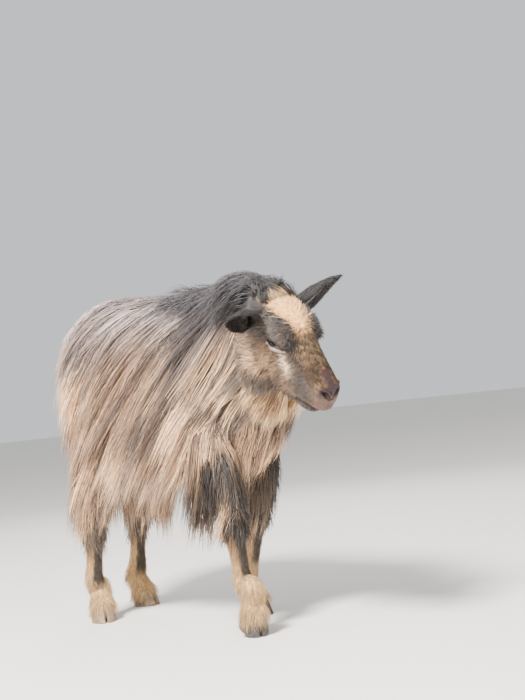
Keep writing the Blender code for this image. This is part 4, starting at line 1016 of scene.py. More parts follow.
# %% Eyeballs and lid rims
def eyeball(name, side):
    """A wet ball with a slight bulge in front, and the flat places that its pattern follows."""
    local, faces = ball((0, 0, 0), (1, 1, 1), 64, 40)
    bulge = 1.0 + 0.045 * bump(np.hypot(local[:, 0], local[:, 1]), 0.55) * (local[:, 2] > 0)
    placed = place_points(local * bulge[:, None] * EYE_RADIUS, HEAD @ eye_frame(side))
    triangles = triangles_of(faces)
    if side > 0:
        triangles = triangles[:, ::-1]
    item = make_piece(name, placed, triangles, EYE)
    layer = item.data.attributes.new("eye_place", "FLOAT_VECTOR", "POINT")
    flat_place = local * np.array((1.0, 1.0, 0.0)) - np.array((-0.12, 0.25, 0.0))
    flat_place[local[:, 2] < 0] = (1.0, 0.0, 0.0)
    layer.data.foreach_set("vector", flat_place.astype(np.float32).ravel())
    return item

# %% Lid rims
def tube(path, radii, count=8):
    """A closed tapered roll along a path: points and triangles."""
    path = np.array(path)
    rings = []
    hint = np.array((0.02, 0.01, 1.0))
    for i, point in enumerate(path):
        axis = path[min(i + 1, len(path) - 1)] - path[max(i - 1, 0)]
        side = np.cross(hint, axis)
        side /= np.linalg.norm(side)
        lift = np.cross(axis, side)
        lift /= np.linalg.norm(lift)
        rings.append(oval(point, side, lift, radii[i], radii[i], radii[i], count, 2.0))
    points, faces = loft(rings)
    return points, triangles_of(faces)


def lid_rim(name, side, edge, size, lift, material):
    """A roll along one lid's edge, lying on the eyeball."""
    spots = np.linspace(SLIT_BACK, SLIT_FRONT, 34)
    height = edge(spots)
    depth = np.sqrt(np.clip((EYE_RADIUS + lift) ** 2 - (spots / 1.18) ** 2 - height ** 2, 0.0, None))
    radii = size * (0.35 + 0.65 * np.sin(np.linspace(0.0, math.pi, 34)) ** 0.5)
    points, faces = tube(np.stack((spots, height, depth), axis=1), radii)
    placed = place_points(points, HEAD @ eye_frame(side))
    if side > 0:
        faces = faces[:, ::-1]
    return make_piece(name, placed, faces, material)


eye_pieces = []
for side, label in ((1, "left"), (-1, "right")):
    eye_pieces.append(eyeball("eyeball_" + label, side))
    eye_pieces.append(lid_rim("upper_lid_" + label, side, upper_edge, 0.0028, 0.0016, DARK_RIM))
    eye_pieces.append(lid_rim("lower_lid_" + label, side, lower_edge, 0.0020, 0.0010, PALE_RIM))
slit_length = (SLIT_FRONT - SLIT_BACK) * HEAD_SIZE
print("eye", round(EYE_RADIUS * 2000 * HEAD_SIZE, 1), "slit", round(slit_length * 1000, 1), "mm")

# %% [markdown]
# ## Ears
# A goat's ear is a leaf rolled at its root and cupped towards the tip.  The near one is turned back
# and down, the far one stands out sideways.  Each is one thin closed shell.

# %% Ear shells
EAR_LENGTH = 0.136
EAR_BASE = (-0.002, 0.053, 0.036)
EAR_WAY = {"left": Vector((0.33, 0.85, 0.40)), "right": Vector((0.45, -0.88, -0.10))}
EAR_FACE = {"left": Vector((0.60, 0.25, -0.70)), "right": Vector((0.50, 0.00, -0.86))}
EAR_PROFILE = [(-0.10, 0.014, 0.66), (0.05, 0.016, 0.70), (0.20, 0.023, 0.60), (0.40, 0.028, 0.50),
               (0.60, 0.0255, 0.42), (0.80, 0.0175, 0.36), (0.93, 0.0085, 0.30), (0.985, 0.0030, 0.26)]
EAR_ACROSS = 15


def ear_frame(label):
    """The root of an ear, and its directions along, across and out of its back."""
    mirror = 1 if label == "left" else -1
    along = EAR_WAY[label].normalized()
    side = along.cross(EAR_FACE[label]).normalized()
    back = side.cross(along).normalized()
    base = HEAD @ Vector((EAR_BASE[0], EAR_BASE[1] * mirror, EAR_BASE[2]))
    return base, along, side, back


def ear_point(label, t, s, lift):
    """A point of the ear: t along it, s from -1 to 1 across it, lift out from its middle sheet."""
    base, along, side, back = (np.array(v) for v in ear_frame(label))
    places, halves, cups = np.array(EAR_PROFILE).T
    half, cup = np.interp(t, places, halves), np.interp(t, places, cups)
    reach = cup * math.pi
    radius = half / math.sin(min(reach, math.pi / 2))
    angle = reach * s
    way_out = side * math.sin(angle) - back * math.cos(angle)
    middle = base + along * (t * EAR_LENGTH) + back * radius * 0.6
    fold = 0.0012 * math.sin(t * 21.0 + s * 3.0) * abs(s)
    return middle + way_out * (radius + lift + fold)

# %% Build the ears
def ear_shell(name, label):
    """One ear: rings that run out along its back and home along its cup."""
    rings = []
    for t in finer([(row[0],) for row in EAR_PROFILE], 4)[:, 0]:
        thick = 0.0016 * min(1.0, 0.35 + (1.0 - t))
        outer = [ear_point(label, t, 2.0 * i / EAR_ACROSS - 1.0, thick) for i in range(EAR_ACROSS + 1)]
        inner = [ear_point(label, t, 2.0 * i / EAR_ACROSS - 1.0, -thick) for i in range(EAR_ACROSS + 1)]
        rings.append(np.array(outer + inner[::-1]))
    points, faces = loft(rings)
    item = make_piece(name, points, triangles_of(faces), HIDE)
    turn_outwards(item.data)
    ring_size = 2 * (EAR_ACROSS + 1)
    inside = np.array([(i % ring_size) > EAR_ACROSS for i in range(len(points))])
    fur = np.where(inside[:, None], linear("#2f2827")[None, :], linear("#1c191a")[None, :])
    set_values(item.data, "fur", "FLOAT_COLOR", fur)
    set_values(item.data, "bare", "FLOAT", np.where(inside, 0.35, 0.0))
    return item


ears = {label: ear_shell("ear_shell_" + label, label) for label in ("left", "right")}

# %% [markdown]
# ## Hooves
# Each foot has two claws with a narrow cleft between them, and two short dewclaws behind.  The
# claw's outline is drawn once at the sole and once at the coronet; smooth closed curves through
# both give its walls, and the sole's edge is rounded off where it wears.

# %% Claws and dewclaws
CLAW_SOLE = [(0.033, 0.005), (0.025, 0.018), (0.009, 0.028), (-0.012, 0.031), (-0.028, 0.026),
             (-0.033, 0.014), (-0.029, 0.003), (0.000, 0.0018), (0.022, 0.0018)]
CLAW_TOP = [(0.013, 0.005, 0.043), (0.009, 0.016, 0.043), (-0.002, 0.025, 0.041), (-0.018, 0.028, 0.037),
            (-0.031, 0.023, 0.031), (-0.035, 0.013, 0.028), (-0.032, 0.004, 0.028), (-0.010, 0.0022, 0.035),
            (0.006, 0.0022, 0.041)]
CLAW_LEVELS = [(0.0, 0.93), (0.03, 0.985), (0.10, 1.0), (0.25, 0.99),
               (0.45, 0.985), (0.65, 0.985), (0.85, 0.99), (1.0, 0.96)]


def closed_curve(outline, times=4):
    """A smooth closed curve through the corners of an outline."""
    rows = np.array(outline, dtype=float)
    count = len(rows)
    out = []
    for i in range(count):
        corners = [rows[(i + k - 1) % count] for k in range(4)]
        out.extend(on_curve(*corners, k / times) for k in range(times))
    return np.array(out)

# %% Build the hooves
def claw(foot, outward):
    sole = closed_curve([(x, y, 0.0) for x, y in CLAW_SOLE])
    top = closed_curve(CLAW_TOP)
    rings = []
    for share, swell in CLAW_LEVELS:
        ring = sole * (1.0 - share) + top * share
        middle = ring.mean(axis=0)
        ring = middle + (ring - middle) * np.array((swell, swell, 1.0))
        ring[:, 1] = np.maximum(ring[:, 1], 0.0016) * outward
        rings.append(ring)
    points, faces = loft(rings)
    points = place_points(points, foot_place(foot))
    points[:, 2] = np.maximum(points[:, 2], 0.0)
    triangles = triangles_of(faces)
    return points, triangles[:, ::-1] if outward < 0 else triangles


def dewclaw(foot, outward):
    stations = [(-0.033, 0.015, 0.089, 0.0070, 0.0075), (-0.043, 0.0175, 0.080, 0.0078, 0.0083),
                (-0.051, 0.0195, 0.070, 0.0062, 0.0066), (-0.055, 0.0200, 0.064, 0.0022, 0.0024)]
    points, faces = limb([(x, y * outward, z, d, w) for x, y, z, d, w in stations], 0.0, 16)
    return place_points(points, foot_place(foot)), triangles_of(faces)


hooves = []
for foot in FEET:
    for outward, label in ((1, "left"), (-1, "right")):
        node = foot + "_" + label
        horn = SLATE_HORN if foot.startswith("fore") else PALE_HORN
        hooves.append((make_piece("hoof_" + node, *claw(foot, outward), horn), "claw_" + node))
        hooves.append((make_piece("dewclaw_horn_" + node, *dewclaw(foot, outward), horn), "dewclaw_" + node))
for item, _ in hooves:
    turn_outwards(item.data)
print("hooves", len(hooves))

# %% [markdown]
# ## How the coat is made
# A few hundred guide locks are grown first.  Each starts on the skin, leaves it along the lie of
# the coat, turns down under its own weight, and is kept clear of the body.  Around each guide many
# strands take root; a strand follows the guides near it and closes in on its own guide towards the
# tip, which gathers the hair into tapering locks with dark gaps between them, as a real coat does.
# Each strand is a thin closed blade with a ridge along its outer face.

# %% The ground that the coat grows on
all_skin = np.vstack([body_skin, head_skin])
all_faces = np.vstack([body_faces, head_faces + len(body_skin)])
GROUND = BVHTree.FromPolygons([tuple(p) for p in all_skin], [tuple(f) for f in all_faces])
STATIONS = 9            # points along a guide
REAR_END = 0.470        # no hair sweeps further to the rear than this
REAR_EASE = 0.15        # and it starts to hang straight this far before
FLOOR_GAP = 0.014       # hair ends above the floor
ROOT_DEPTH = 0.002      # hair starts this far inside the skin


def roots_on(points, faces, keep, count, rng):
    """Random places on the faces that keep marks, even by area: points and outward directions."""
    chosen = np.nonzero(keep)[0]
    a, b, c, d = (points[faces[chosen, k]] for k in range(4))
    area = np.linalg.norm(np.cross(c - a, d - b), axis=1)
    pick = rng.choice(len(chosen), size=count, p=area / area.sum())
    u, v = rng.random(count)[:, None], rng.random(count)[:, None]
    spots = (a[pick] * (1 - u) + b[pick] * u) * (1 - v) + (d[pick] * (1 - u) + c[pick] * u) * v
    normals = np.cross(c - a, d - b)[pick]
    return spots, normals / np.linalg.norm(normals, axis=1, keepdims=True), chosen[pick]


def spread_out(spots, reach):
    """The indices of spots that stay at least this far from each other."""
    kept = []
    cells = {}
    for i, spot in enumerate(spots):
        cell = tuple(int(v // reach) for v in spot)
        near = [j for dx in (-1, 0, 1) for dy in (-1, 0, 1) for dz in (-1, 0, 1)
                for j in cells.get((cell[0] + dx, cell[1] + dy, cell[2] + dz), ())]
        if all(np.linalg.norm(spots[j] - spot) >= reach for j in near):
            cells.setdefault(cell, []).append(i)
            kept.append(i)
    return kept


def keep_clear(point, clearance):
    """Push a point out of the skin, and return the outward direction below it."""
    near, normal, _, distance = GROUND.find_nearest(point)
    if (point - near).dot(normal) < -0.9 * distance:
        point = near + normal * clearance
    elif distance < clearance:
        away = (point - near).normalized() if distance > 1e-6 else normal
        point = near + away * clearance
    return point, normal, distance

# %% Grow one guide
def grow_guide(root, out, lie, length, clearance, fall, rng, droop, sway):
    """One guide: its points, and the outward direction at each."""
    root, out, lie, droop = (Vector(v) for v in (root, out, lie, droop))
    lie = (lie - out * lie.dot(out)).normalized()
    across = lie.cross(out).normalized()
    step = length / (STATIONS - 1)
    phase, pitch = rng.uniform(0.0, 6.3), rng.uniform(1.6, 2.8)
    bend = rng.uniform(-0.5, 0.5) * sway
    points, outs = [root - out * ROOT_DEPTH], [out]
    here, way = root.copy(), lie
    for k in range(1, STATIONS):
        t = k / (STATIONS - 1)
        turn = min(1.0, fall * (0.12 + 0.88 * t ** 0.8))
        curl = across * (bend + sway * math.sin(phase + pitch * t * 3.14))
        goal = lie * (1.0 - turn) + droop * turn + curl
        if goal.x < 0.0:
            goal.x *= min(1.0, (here.x + REAR_END) / REAR_EASE)
        goal.normalize()
        way = (way * 0.45 + goal * 0.75).normalized()
        here = here + way * step
        here, normal, distance = keep_clear(here, clearance * (0.30 + 0.70 * t ** 0.7))
        here.z = max(here.z, FLOOR_GAP)
        face = outs[-1]
        if distance < 0.09 and normal.dot(face) > 0.1:
            face = (face + normal * 0.8).normalized()
        face = (face - way * face.dot(way)).normalized()
        points.append(here.copy())
        outs.append(face)
    return np.array(points), np.array(outs)


# %% Strands from guides
def strands_from(guides, outs, roots, normals, stations, gather, loose, rng, lengths=(0.72, 1.04)):
    """Many strands that follow the guides near their roots and gather towards their tips.

    Returns their lines, the outward directions along them, and the guide that each belongs to.
    """
    tree = KDTree(len(guides))
    for i, guide in enumerate(guides):
        tree.insert(guide[0], i)
    tree.balance()
    near = np.zeros((len(roots), 3), dtype=int)
    away = np.zeros((len(roots), 3))
    for i, root in enumerate(roots):
        found = tree.find_n(root, min(3, len(guides)))
        for k in range(3):
            _, index, distance = found[min(k, len(found) - 1)]
            near[i, k], away[i, k] = index, distance
    share = 1.0 / (away + 0.004) ** 2
    share /= share.sum(axis=1, keepdims=True)
    reach = rng.uniform(*lengths, len(roots))
    t = np.linspace(0.0, 1.0, stations)
    place = t[None, :] * reach[:, None] * (guides.shape[1] - 1)
    low = np.clip(place.astype(int), 0, guides.shape[1] - 2)
    part = (place - low)[..., None]

    def along(field, index):
        rows = field[index]
        pick = np.arange(len(rows))[:, None]
        return rows[pick, low] * (1.0 - part) + rows[pick, low + 1] * part

    free = sum(share[:, k, None, None] * (along(guides, near[:, k]) - guides[near[:, k], :1]) for k in range(3))
    free = roots[:, None, :] - normals[:, None, :] * ROOT_DEPTH + free
    own = along(guides, near[:, 0])
    closing = (gather * np.clip(t * 1.25, 0.0, 1.0) ** 1.1)[None, :, None]
    pull = closing * rng.uniform(0.75, 1.1, len(roots))[:, None, None]
    lines = free * (1.0 - pull) + own * pull
    loose = np.broadcast_to(np.reshape(loose, (-1, 1)), (len(roots), 1))
    spread = np.clip(rng.normal(size=(len(roots), 3)), -1.7, 1.7) * loose
    start = rng.uniform(0, 6.3, len(roots))[:, None]
    wave = np.sin(start + t[None, :] * rng.uniform(4.0, 8.5, len(roots))[:, None])
    lines += spread[:, None, :] * (t ** 1.2)[None, :, None]
    lines += (rng.normal(size=(len(roots), 3)) * loose * 0.45)[:, None, :] * (wave * t[None, :])[..., None]
    faces_out = along(outs, near[:, 0])
    return lines, faces_out, near[:, 0]

# %% Blades of hair
def lift_strands(lines, clearance):
    """Raise the points of strands that dip into the skin."""
    for line in lines:
        for k in range(1, len(line)):
            point, _, _ = keep_clear(Vector(line[k]), clearance)
            line[k] = point
    return lines


def blades(lines, outs, widths, profile):
    """Closed tapered blades along lines: points, triangles, and how far along each point is."""
    count, stations, _ = lines.shape
    ways = np.empty_like(lines)
    ways[:, 1:-1] = lines[:, 2:] - lines[:, :-2]
    ways[:, 0] = lines[:, 1] - lines[:, 0]
    ways[:, -1] = lines[:, -1] - lines[:, -2]
    ways /= np.maximum(np.linalg.norm(ways, axis=2, keepdims=True), 1e-9)
    lift = outs - ways * np.sum(outs * ways, axis=2, keepdims=True)
    lift /= np.maximum(np.linalg.norm(lift, axis=2, keepdims=True), 1e-9)
    across = np.cross(ways, lift)
    spread = np.interp(np.linspace(0, 1, stations), np.linspace(0, 1, len(profile)), profile)
    width = widths[:, None, None] * spread[None, :, None]
    rings = np.stack([lines + across * width, lines + lift * width * 0.7, lines - across * width], axis=2)
    body = rings[:, :-1].reshape(count, -1, 3)
    points = np.concatenate([body, lines[:, -1:]], axis=1)
    size = points.shape[1]
    faces = [(0, 2, 1)]
    for s in range(stations - 2):
        for i in range(3):
            j = (i + 1) % 3
            a, b, c, d = s * 3 + i, s * 3 + j, s * 3 + 3 + j, s * 3 + 3 + i
            faces += [(a, b, c), (a, c, d)]
    end = (stations - 2) * 3
    faces += [(end + i, end + (i + 1) % 3, size - 1) for i in range(3)]
    faces = np.array(faces)
    all_faces = (faces[None] + (np.arange(count) * size)[:, None, None]).reshape(-1, 3)
    along = np.tile(np.concatenate([np.repeat(np.linspace(0, 1, stations)[:-1], 3), [1.0]]), count)
    return points.reshape(-1, 3), all_faces, along, size

# %% Coat pieces
PATCH = 0.003           # of the unwrap's side, for one strand


def patch_unwrap(base, size, faces, along):
    """A small patch at each root's place, with the strand's length across it."""
    owner = np.arange(len(along)) // size
    sideways = np.tile(np.arange(size) % 3, len(base)) * PATCH / 2.0
    spots = base[owner] + np.stack((sideways, along * PATCH), axis=1)
    return spots[faces.ravel()]


def strand_places(along, mine, size):
    """Across, along and a number of its own for every strand: what the streaks inside it follow."""
    sides = np.concatenate([np.tile((-1.0, 0.0, 1.0), (size - 1) // 3), [0.0]])
    return np.stack((np.tile(sides, len(mine)), along, np.repeat(mine * 0.618 % 7.0, size)), axis=1)


COAT_LIMIT = 198000     # triangles in one coat piece
coat_pieces = []


def make_coat(name, lines, outs, widths, profile, colour_of, base, material, slot):
    """Coat pieces of strands, split so that none grows too heavy."""
    stations = lines.shape[1]
    per_strand = 6 * (stations - 2) + 4
    most = COAT_LIMIT // per_strand
    parts = math.ceil(len(lines) / most)
    for part in range(parts):
        mine = np.arange(part, len(lines), parts)
        points, faces, along, size = blades(lines[mine], outs[mine], widths[mine], profile)
        label = name if parts == 1 else name + "_" + "abcdefgh"[part]
        item = make_piece(label, points, faces, material)
        set_values(item.data, "fur", "FLOAT_COLOR", colour_of(points, along, mine, size))
        set_values(item.data, "strand", "FLOAT_VECTOR", strand_places(along, mine, size))
        set_unwrap(item.data, patch_unwrap(base[mine], size, faces, along))
        coat_pieces.append((item, slot))
        print(label, len(mine), "strands", len(faces), "triangles")


# %% [markdown]
# ## The long coat
# The hair parts along the back.  It leaves the crest and the back in long arcs that sweep to the
# rear before they fall, so a lock that starts over the shoulder ends under the flank.  Broad locks
# come first, narrow tresses gather into them, and the strands gather into the tresses.

# %% Lie of the long coat
DENSITY = 1.0
SWEEP_X = (-0.46, -0.40, -0.32, -0.18, -0.02, 0.12, 0.22, 0.34)
SWEEP = (0.00, 0.00, 0.20, 0.82, 0.98, 0.98, 1.10, 1.25)


def over_leg(p):
    """1 over the top of a foreleg, where the hair hangs straight and covers the leg like an apron."""
    return near_spot(one_side(p), (0.155, 0.095, 0.415), (0.085, 0.080, 0.085))


def body_lie(p, n):
    """The direction in which hair leaves the trunk and neck at a point."""
    side = np.sign(p[:, 1] - np.interp(p[:, 0], (0.15, 0.40), (0.0, -0.13)) + 1e-4)
    sweep = np.interp(p[:, 0], SWEEP_X, SWEEP) * (1.0 - 0.72 * over_leg(p))
    sideways = side * 0.35 * (1.0 - 0.8 * over_leg(p))
    lie = np.stack((-sweep, sideways, np.full(len(p), -0.9)), axis=1)
    behind = step_between(-p[:, 0], 0.37, 0.44)[:, None]
    on_rump = np.stack((np.full(len(p), -0.12), p[:, 1] * 1.2, np.full(len(p), -1.0)), axis=1)
    return lie * (1 - behind) + on_rump * behind


def body_droop(p):
    """The way the hair hangs once it is free of the skin: still a little to the rear."""
    share = (0.72 + 0.30 * step_between(p[:, 0], 0.16, 0.26)) * (1.0 - 0.72 * over_leg(p))
    rearwards = -share * np.interp(p[:, 0], SWEEP_X, SWEEP)
    return np.stack((rearwards, np.zeros(len(p)), np.full(len(p), -1.0)), axis=1)

# %% Length and depth of the long coat
def body_length(p, n):
    """The length of the hair that roots at a point of the trunk or neck."""
    length = np.interp(p[:, 2], (0.32, 0.36, 0.42, 0.52, 0.66, 0.80), (0.13, 0.18, 0.27, 0.345, 0.36, 0.27))
    neck = step_between((p - NECK_BASE) @ NECK_WAY, -0.03, 0.04)
    length = length * (1 - neck) + np.interp(p[:, 2], (0.52, 0.62, 0.74), (0.28, 0.35, 0.33)) * neck
    front = step_between(p[:, 0], 0.20, 0.28) * (1.0 - step_between(p[:, 2], 0.52, 0.62))
    length = length * (1.0 - 0.06 * front)
    middle = np.interp(p[:, 0], (0.15, 0.40), (0.0, -0.13))
    far_front = step_between(p[:, 0], 0.16, 0.25) * step_between(p[:, 1] - middle, -0.02, 0.04)
    length = length * (1.0 - 0.42 * far_front)
    length = np.maximum(length, 0.17 * over_leg(p))
    rump = step_between(-p[:, 0], 0.30, 0.42)
    length = length * (1.0 - 0.14 * rump)
    return np.where(n[:, 2] < -0.6, length * 0.62, length)


def body_clear(p, n, rng):
    """How far the outer hair stands off the skin: deep on the flank and back, close on the rump."""
    deep = np.interp(p[:, 0], (-0.40, -0.30, -0.18, 0.10, 0.30), (0.002, 0.005, 0.020, 0.027, 0.022))
    on_back = step_between(n[:, 2], 0.60, 0.85) * step_between(0.02 - p[:, 0], 0.0, 0.08)
    on_back *= step_between(p[:, 0], -0.44, -0.38)
    deep = (deep + 0.028 * on_back) * np.where(p[:, 1] > 0.05, 0.55, 1.0)
    return rng.uniform(0.15, 1.0, len(p)) * deep + 0.003

# %% Guides over a stretch of skin
def grow_coat(keep, spacing, lie_of, length_of, clear_of, fall, sway, rng, droop_of, skin=None, faces=None):
    """Guides over the kept faces of a skin: their points and outward directions."""
    skin = body_skin if skin is None else skin
    faces = body_faces if faces is None else faces
    spots, normals, _ = roots_on(skin, faces, keep, 9000, rng)
    kept = spread_out(spots, spacing)
    spots, normals = spots[kept], normals[kept]
    lies, droops = lie_of(spots, normals), droop_of(spots)
    lengths = length_of(spots, normals) * rng.uniform(0.86, 1.12, len(spots))
    clear = clear_of(spots, normals, rng)
    grown = [grow_guide(spots[i], normals[i], lies[i], lengths[i], clear[i], fall, rng, droops[i], sway)
             for i in range(len(spots))]
    return np.array([line for line, _ in grown]), np.array([outs for _, outs in grown])


def toned(tones, colour_of, dark_root=0.62, roots=None):
    """Colours of blades from their place, their own tone, and a shade that lifts towards the tip.

    Where the roots are given, half of a blade's colour is that of the place where it took root.
    """
    def colours(points, along, mine, size):
        tone = np.repeat(tones[mine], size)
        if roots is not None:
            points = 0.5 * points + 0.5 * np.repeat(roots[mine], size, axis=0)
        return colour_of(points, tone, along) * (dark_root + (1.12 - dark_root) * along)[:, None]
    return colours


def unwrap_roots(roots, parts):
    """The unwrap of roots that stand on several parts of the body."""
    base = np.zeros((len(roots), 2))
    for part in sorted(set(parts)):
        mine = parts == part
        base[mine] = unwrap(roots[mine], part)
    return base


# %% Grow the long coat
rng = np.random.default_rng(2024)
middles = body_skin[body_faces].mean(axis=1)
face_ups = point_normals(body_skin, body_faces)[body_faces[:, 0], 2]
long_ground = (body_parts == "trunk") | (body_parts == "neck") | (body_parts == "tail")
long_ground |= (middles[:, 2] > 0.335) & (body_parts != "trunk")
long_ground &= ~(((middles - NECK_BASE) @ NECK_WAY) > 0.17)

broad, broad_outs = grow_coat(long_ground, 0.050, body_lie, body_length, body_clear, 0.95, 0.16, rng,
                              body_droop)
spots, normals, _ = roots_on(body_skin, body_faces, long_ground, 9000, rng)
kept = spread_out(spots, 0.0155)
guides, guide_outs, broad_owner = strands_from(broad, broad_outs, spots[kept], normals[kept], STATIONS, 0.58,
                                               0.009, rng, (0.80, 1.06))
guides = lift_strands(guides, 0.005)
print("broad locks", len(broad), "tresses", len(guides))

count = int(23500 * DENSITY)
roots, normals, owners = roots_on(body_skin, body_faces, long_ground, count, rng)
fine = rng.random(count) ** 1.3
lines, outs, owner = strands_from(guides, guide_outs, roots, normals, 6, 0.60, 0.0095 - 0.0060 * fine, rng)
lines = lift_strands(lines, 0.003)
# Hair beyond this on the goat's left is drawn in, to stay within the model's width.
FAR_EDGE = 0.190
lines[:, :, 1] -= 0.8 * np.maximum(lines[:, :, 1] - FAR_EDGE, 0.0)
broad_tone = rng.normal(size=len(broad))
guide_tone = np.clip(0.50 + 0.28 * broad_tone[broad_owner] + 0.22 * rng.normal(size=len(guides)), 0.0, 1.0)
strand_tone = np.clip(guide_tone[owner] * 0.76 + 0.24 * rng.random(len(lines)), 0.0, 1.0)
TAPER = (0.70, 0.95, 1.0, 0.92, 0.70, 0.2)
make_coat("long_coat", lines, outs, 0.0005 + 0.0011 * fine, TAPER,
          toned(strand_tone, body_colours, 0.62, roots),
          unwrap_roots(roots, body_parts[owners]), LONG_HAIR, "body_coat")

# %% [markdown]
# ## The crest
# From between the ears to the withers stands a crest of coarser charcoal hair.  It starts upright,
# is blown about, and falls over to both sides on top of the long coat.

# %% Crest on the neck and the poll
CREST_LINE = [(0.10, -0.002, 0.76), (0.20, -0.02, 0.76), (0.27, -0.055, 0.765), (0.33, -0.09, 0.76),
              (0.385, -0.12, 0.74)]


def crest_side(p):
    """To which side the crest falls: the right at -1 and the left at 1."""
    return np.where(p[:, 1] < np.interp(p[:, 0], (0.15, 0.40), (0.02, -0.11)), -1.0, 1.0)


def crest_lie(p, n):
    return np.stack((np.full(len(p), -0.80), crest_side(p) * 0.40, np.full(len(p), 0.10)), axis=1)


def crest_droop(p):
    return np.stack((np.full(len(p), -0.55), crest_side(p) * 0.25, np.full(len(p), -1.0)), axis=1)


def crest_colours(points, tone, along):
    colours = np.tile(linear("#1f1c20"), (len(points), 1))
    colours = blend_to(colours, "#504a52", step_between(tone, 0.35, 0.95))
    return blend_to(colours, "#6a6263", 0.3 * step_between(along, 0.6, 1.0))


away, _ = path_distance(middles, CREST_LINE)
crest_ground = (away < 0.062) & (face_ups > 0.25)
guides, guide_outs = grow_coat(crest_ground, 0.017, crest_lie, lambda p, n: np.full(len(p), 0.12),
                               lambda p, n, rng: rng.uniform(0.010, 0.026, len(p)),
                               0.85, 0.24, rng, crest_droop)
count = int(3200 * DENSITY)
roots, normals, owners = roots_on(body_skin, body_faces, crest_ground, count, rng)
lines, outs, owner = strands_from(guides, guide_outs, roots, normals, 6, 0.50, 0.008, rng)
lines = lift_strands(lines, 0.004)
crest_tone = np.clip(0.35 + 0.25 * rng.normal(size=len(guides))[owner] + 0.15 * rng.random(count), 0.0, 1.0)
make_coat("crest", lines, outs, rng.uniform(0.0008, 0.0014, count), TAPER,
          toned(crest_tone, crest_colours, 0.7),
          unwrap_roots(roots, body_parts[owners]), LONG_HAIR, "neck_coat")
print("crest guides", len(guides))

# %% [markdown]
# ## Hair of the head
# The face wears short fur that lies forward on the nose and backward on the cheeks.  It gets
# longer towards the jaw, where it hangs as a fringe.  Under the chin grows the long beard, and
# on the poll a pale forelock stands up in front of the dark crest.

# %% Short fur
def short_fur(roots, normals, lies, lengths, rise, stations, rng, scatter=0.22):
    """Lines of short hairs that leave the skin a little and then lie flat along the coat."""
    flat = lies / np.linalg.norm(lies, axis=1, keepdims=True) + rng.normal(size=roots.shape) * scatter
    flat -= normals * np.sum(flat * normals, axis=1, keepdims=True)
    flat /= np.linalg.norm(flat, axis=1, keepdims=True)
    t = np.linspace(0.0, 1.0, stations)[None, :, None]
    size = lengths[:, None, None]
    lines = roots[:, None, :] - normals[:, None, :] * 0.0005 + flat[:, None, :] * size * t
    off_skin = size * np.reshape(rise, (-1, 1, 1)) * (t - 0.45 * t * t) + 0.0015 * t ** 0.5
    lines += normals[:, None, :] * off_skin
    return lines, np.repeat(normals[:, None, :], stations, axis=1)


def face_lie(q, n):
    """The lie of the face's fur in the head's frame: forward on the nose, back and down behind."""
    side = np.sign(q[:, 1])[:, None]
    fore = (step_between(q[:, 0], 0.085, 0.130) * step_between(n[:, 2], 0.15, 0.60))[:, None]
    poll = (1.0 - step_between(q[:, 0], 0.050, 0.095))[:, None]
    on_top = poll * step_between(n[:, 2], 0.25, 0.6)[:, None]
    lie = np.array((-0.62, 0.0, -0.80)) + side * np.array((0.0, 0.12, 0.0))
    forward = np.array((1.0, 0.0, -0.25)) + side * np.array((0.0, 0.45, 0.0))
    crown = np.array((-0.70, 0.0, 0.20)) + side * np.array((0.0, 0.35, 0.0))
    lie = lie * (1 - fore) + forward * fore
    return lie * (1 - on_top) + crown * on_top


def face_length(q, n):
    """Short on the nose and round the eyes, longer on the poll, the cheeks and the jaw."""
    length = np.interp(q[:, 0], (-0.02, 0.05, 0.10, 0.15, 0.19, 0.22),
                       (0.026, 0.020, 0.013, 0.011, 0.0075, 0.0045))
    cheek = step_between(-q[:, 2], 0.005, 0.08) * (1.0 - step_between(q[:, 0], 0.10, 0.17))
    length = length + 0.016 * cheek
    for side in (1, -1):
        eye = np.linalg.norm(q - np.array((EYE_AT.x, EYE_AT.y * side, EYE_AT.z)), axis=1)
        length = length * (0.36 + 0.64 * step_between(eye, 0.022, 0.040))
    return length


def face_rise(q):
    """Fur stands up most on the poll."""
    crown = (1.0 - step_between(q[:, 0], 0.03, 0.09)) * step_between(q[:, 2], 0.045, 0.07)
    return 0.13 + 0.20 * crown

# %% Fur of the face
def to_head(points):
    """Points of the goat in the head's own frame."""
    return place_points(points, np.array(HEAD.inverted()))


def combed(q, n):
    """Places squeezed together along the lie, so that a ripple over them makes long streaks."""
    flow = face_lie(q, n)
    flow /= np.linalg.norm(flow, axis=1, keepdims=True)
    return q - flow * np.sum(q * flow, axis=1, keepdims=True) * 0.72


def on_blaze(colours, q):
    """1 where the fur is as pale as the blaze, which has an even tone."""
    return step_between(colours[:, 0], 0.50, 0.80) * step_between(q[:, 2], 0.030, 0.045)


def make_face_coat(name, lines, outs, widths, profile, colours, brighten, roots, material):
    """A coat piece grown in the head's frame, in its roots' colours, brighter towards the tips."""
    def colour_of(points, along, mine, size):
        return np.repeat(colours[mine], size, axis=0) * (0.80 + brighten * along)[:, None]
    placed = place_points(lines.reshape(-1, 3), HEAD).reshape(lines.shape)
    outs = (outs.reshape(-1, 3) @ np.array(HEAD_TURN)[:3, :3].T).reshape(lines.shape)
    make_coat(name, placed, outs, widths, profile, colour_of, unwrap(roots, "head"), material, "face_hair")


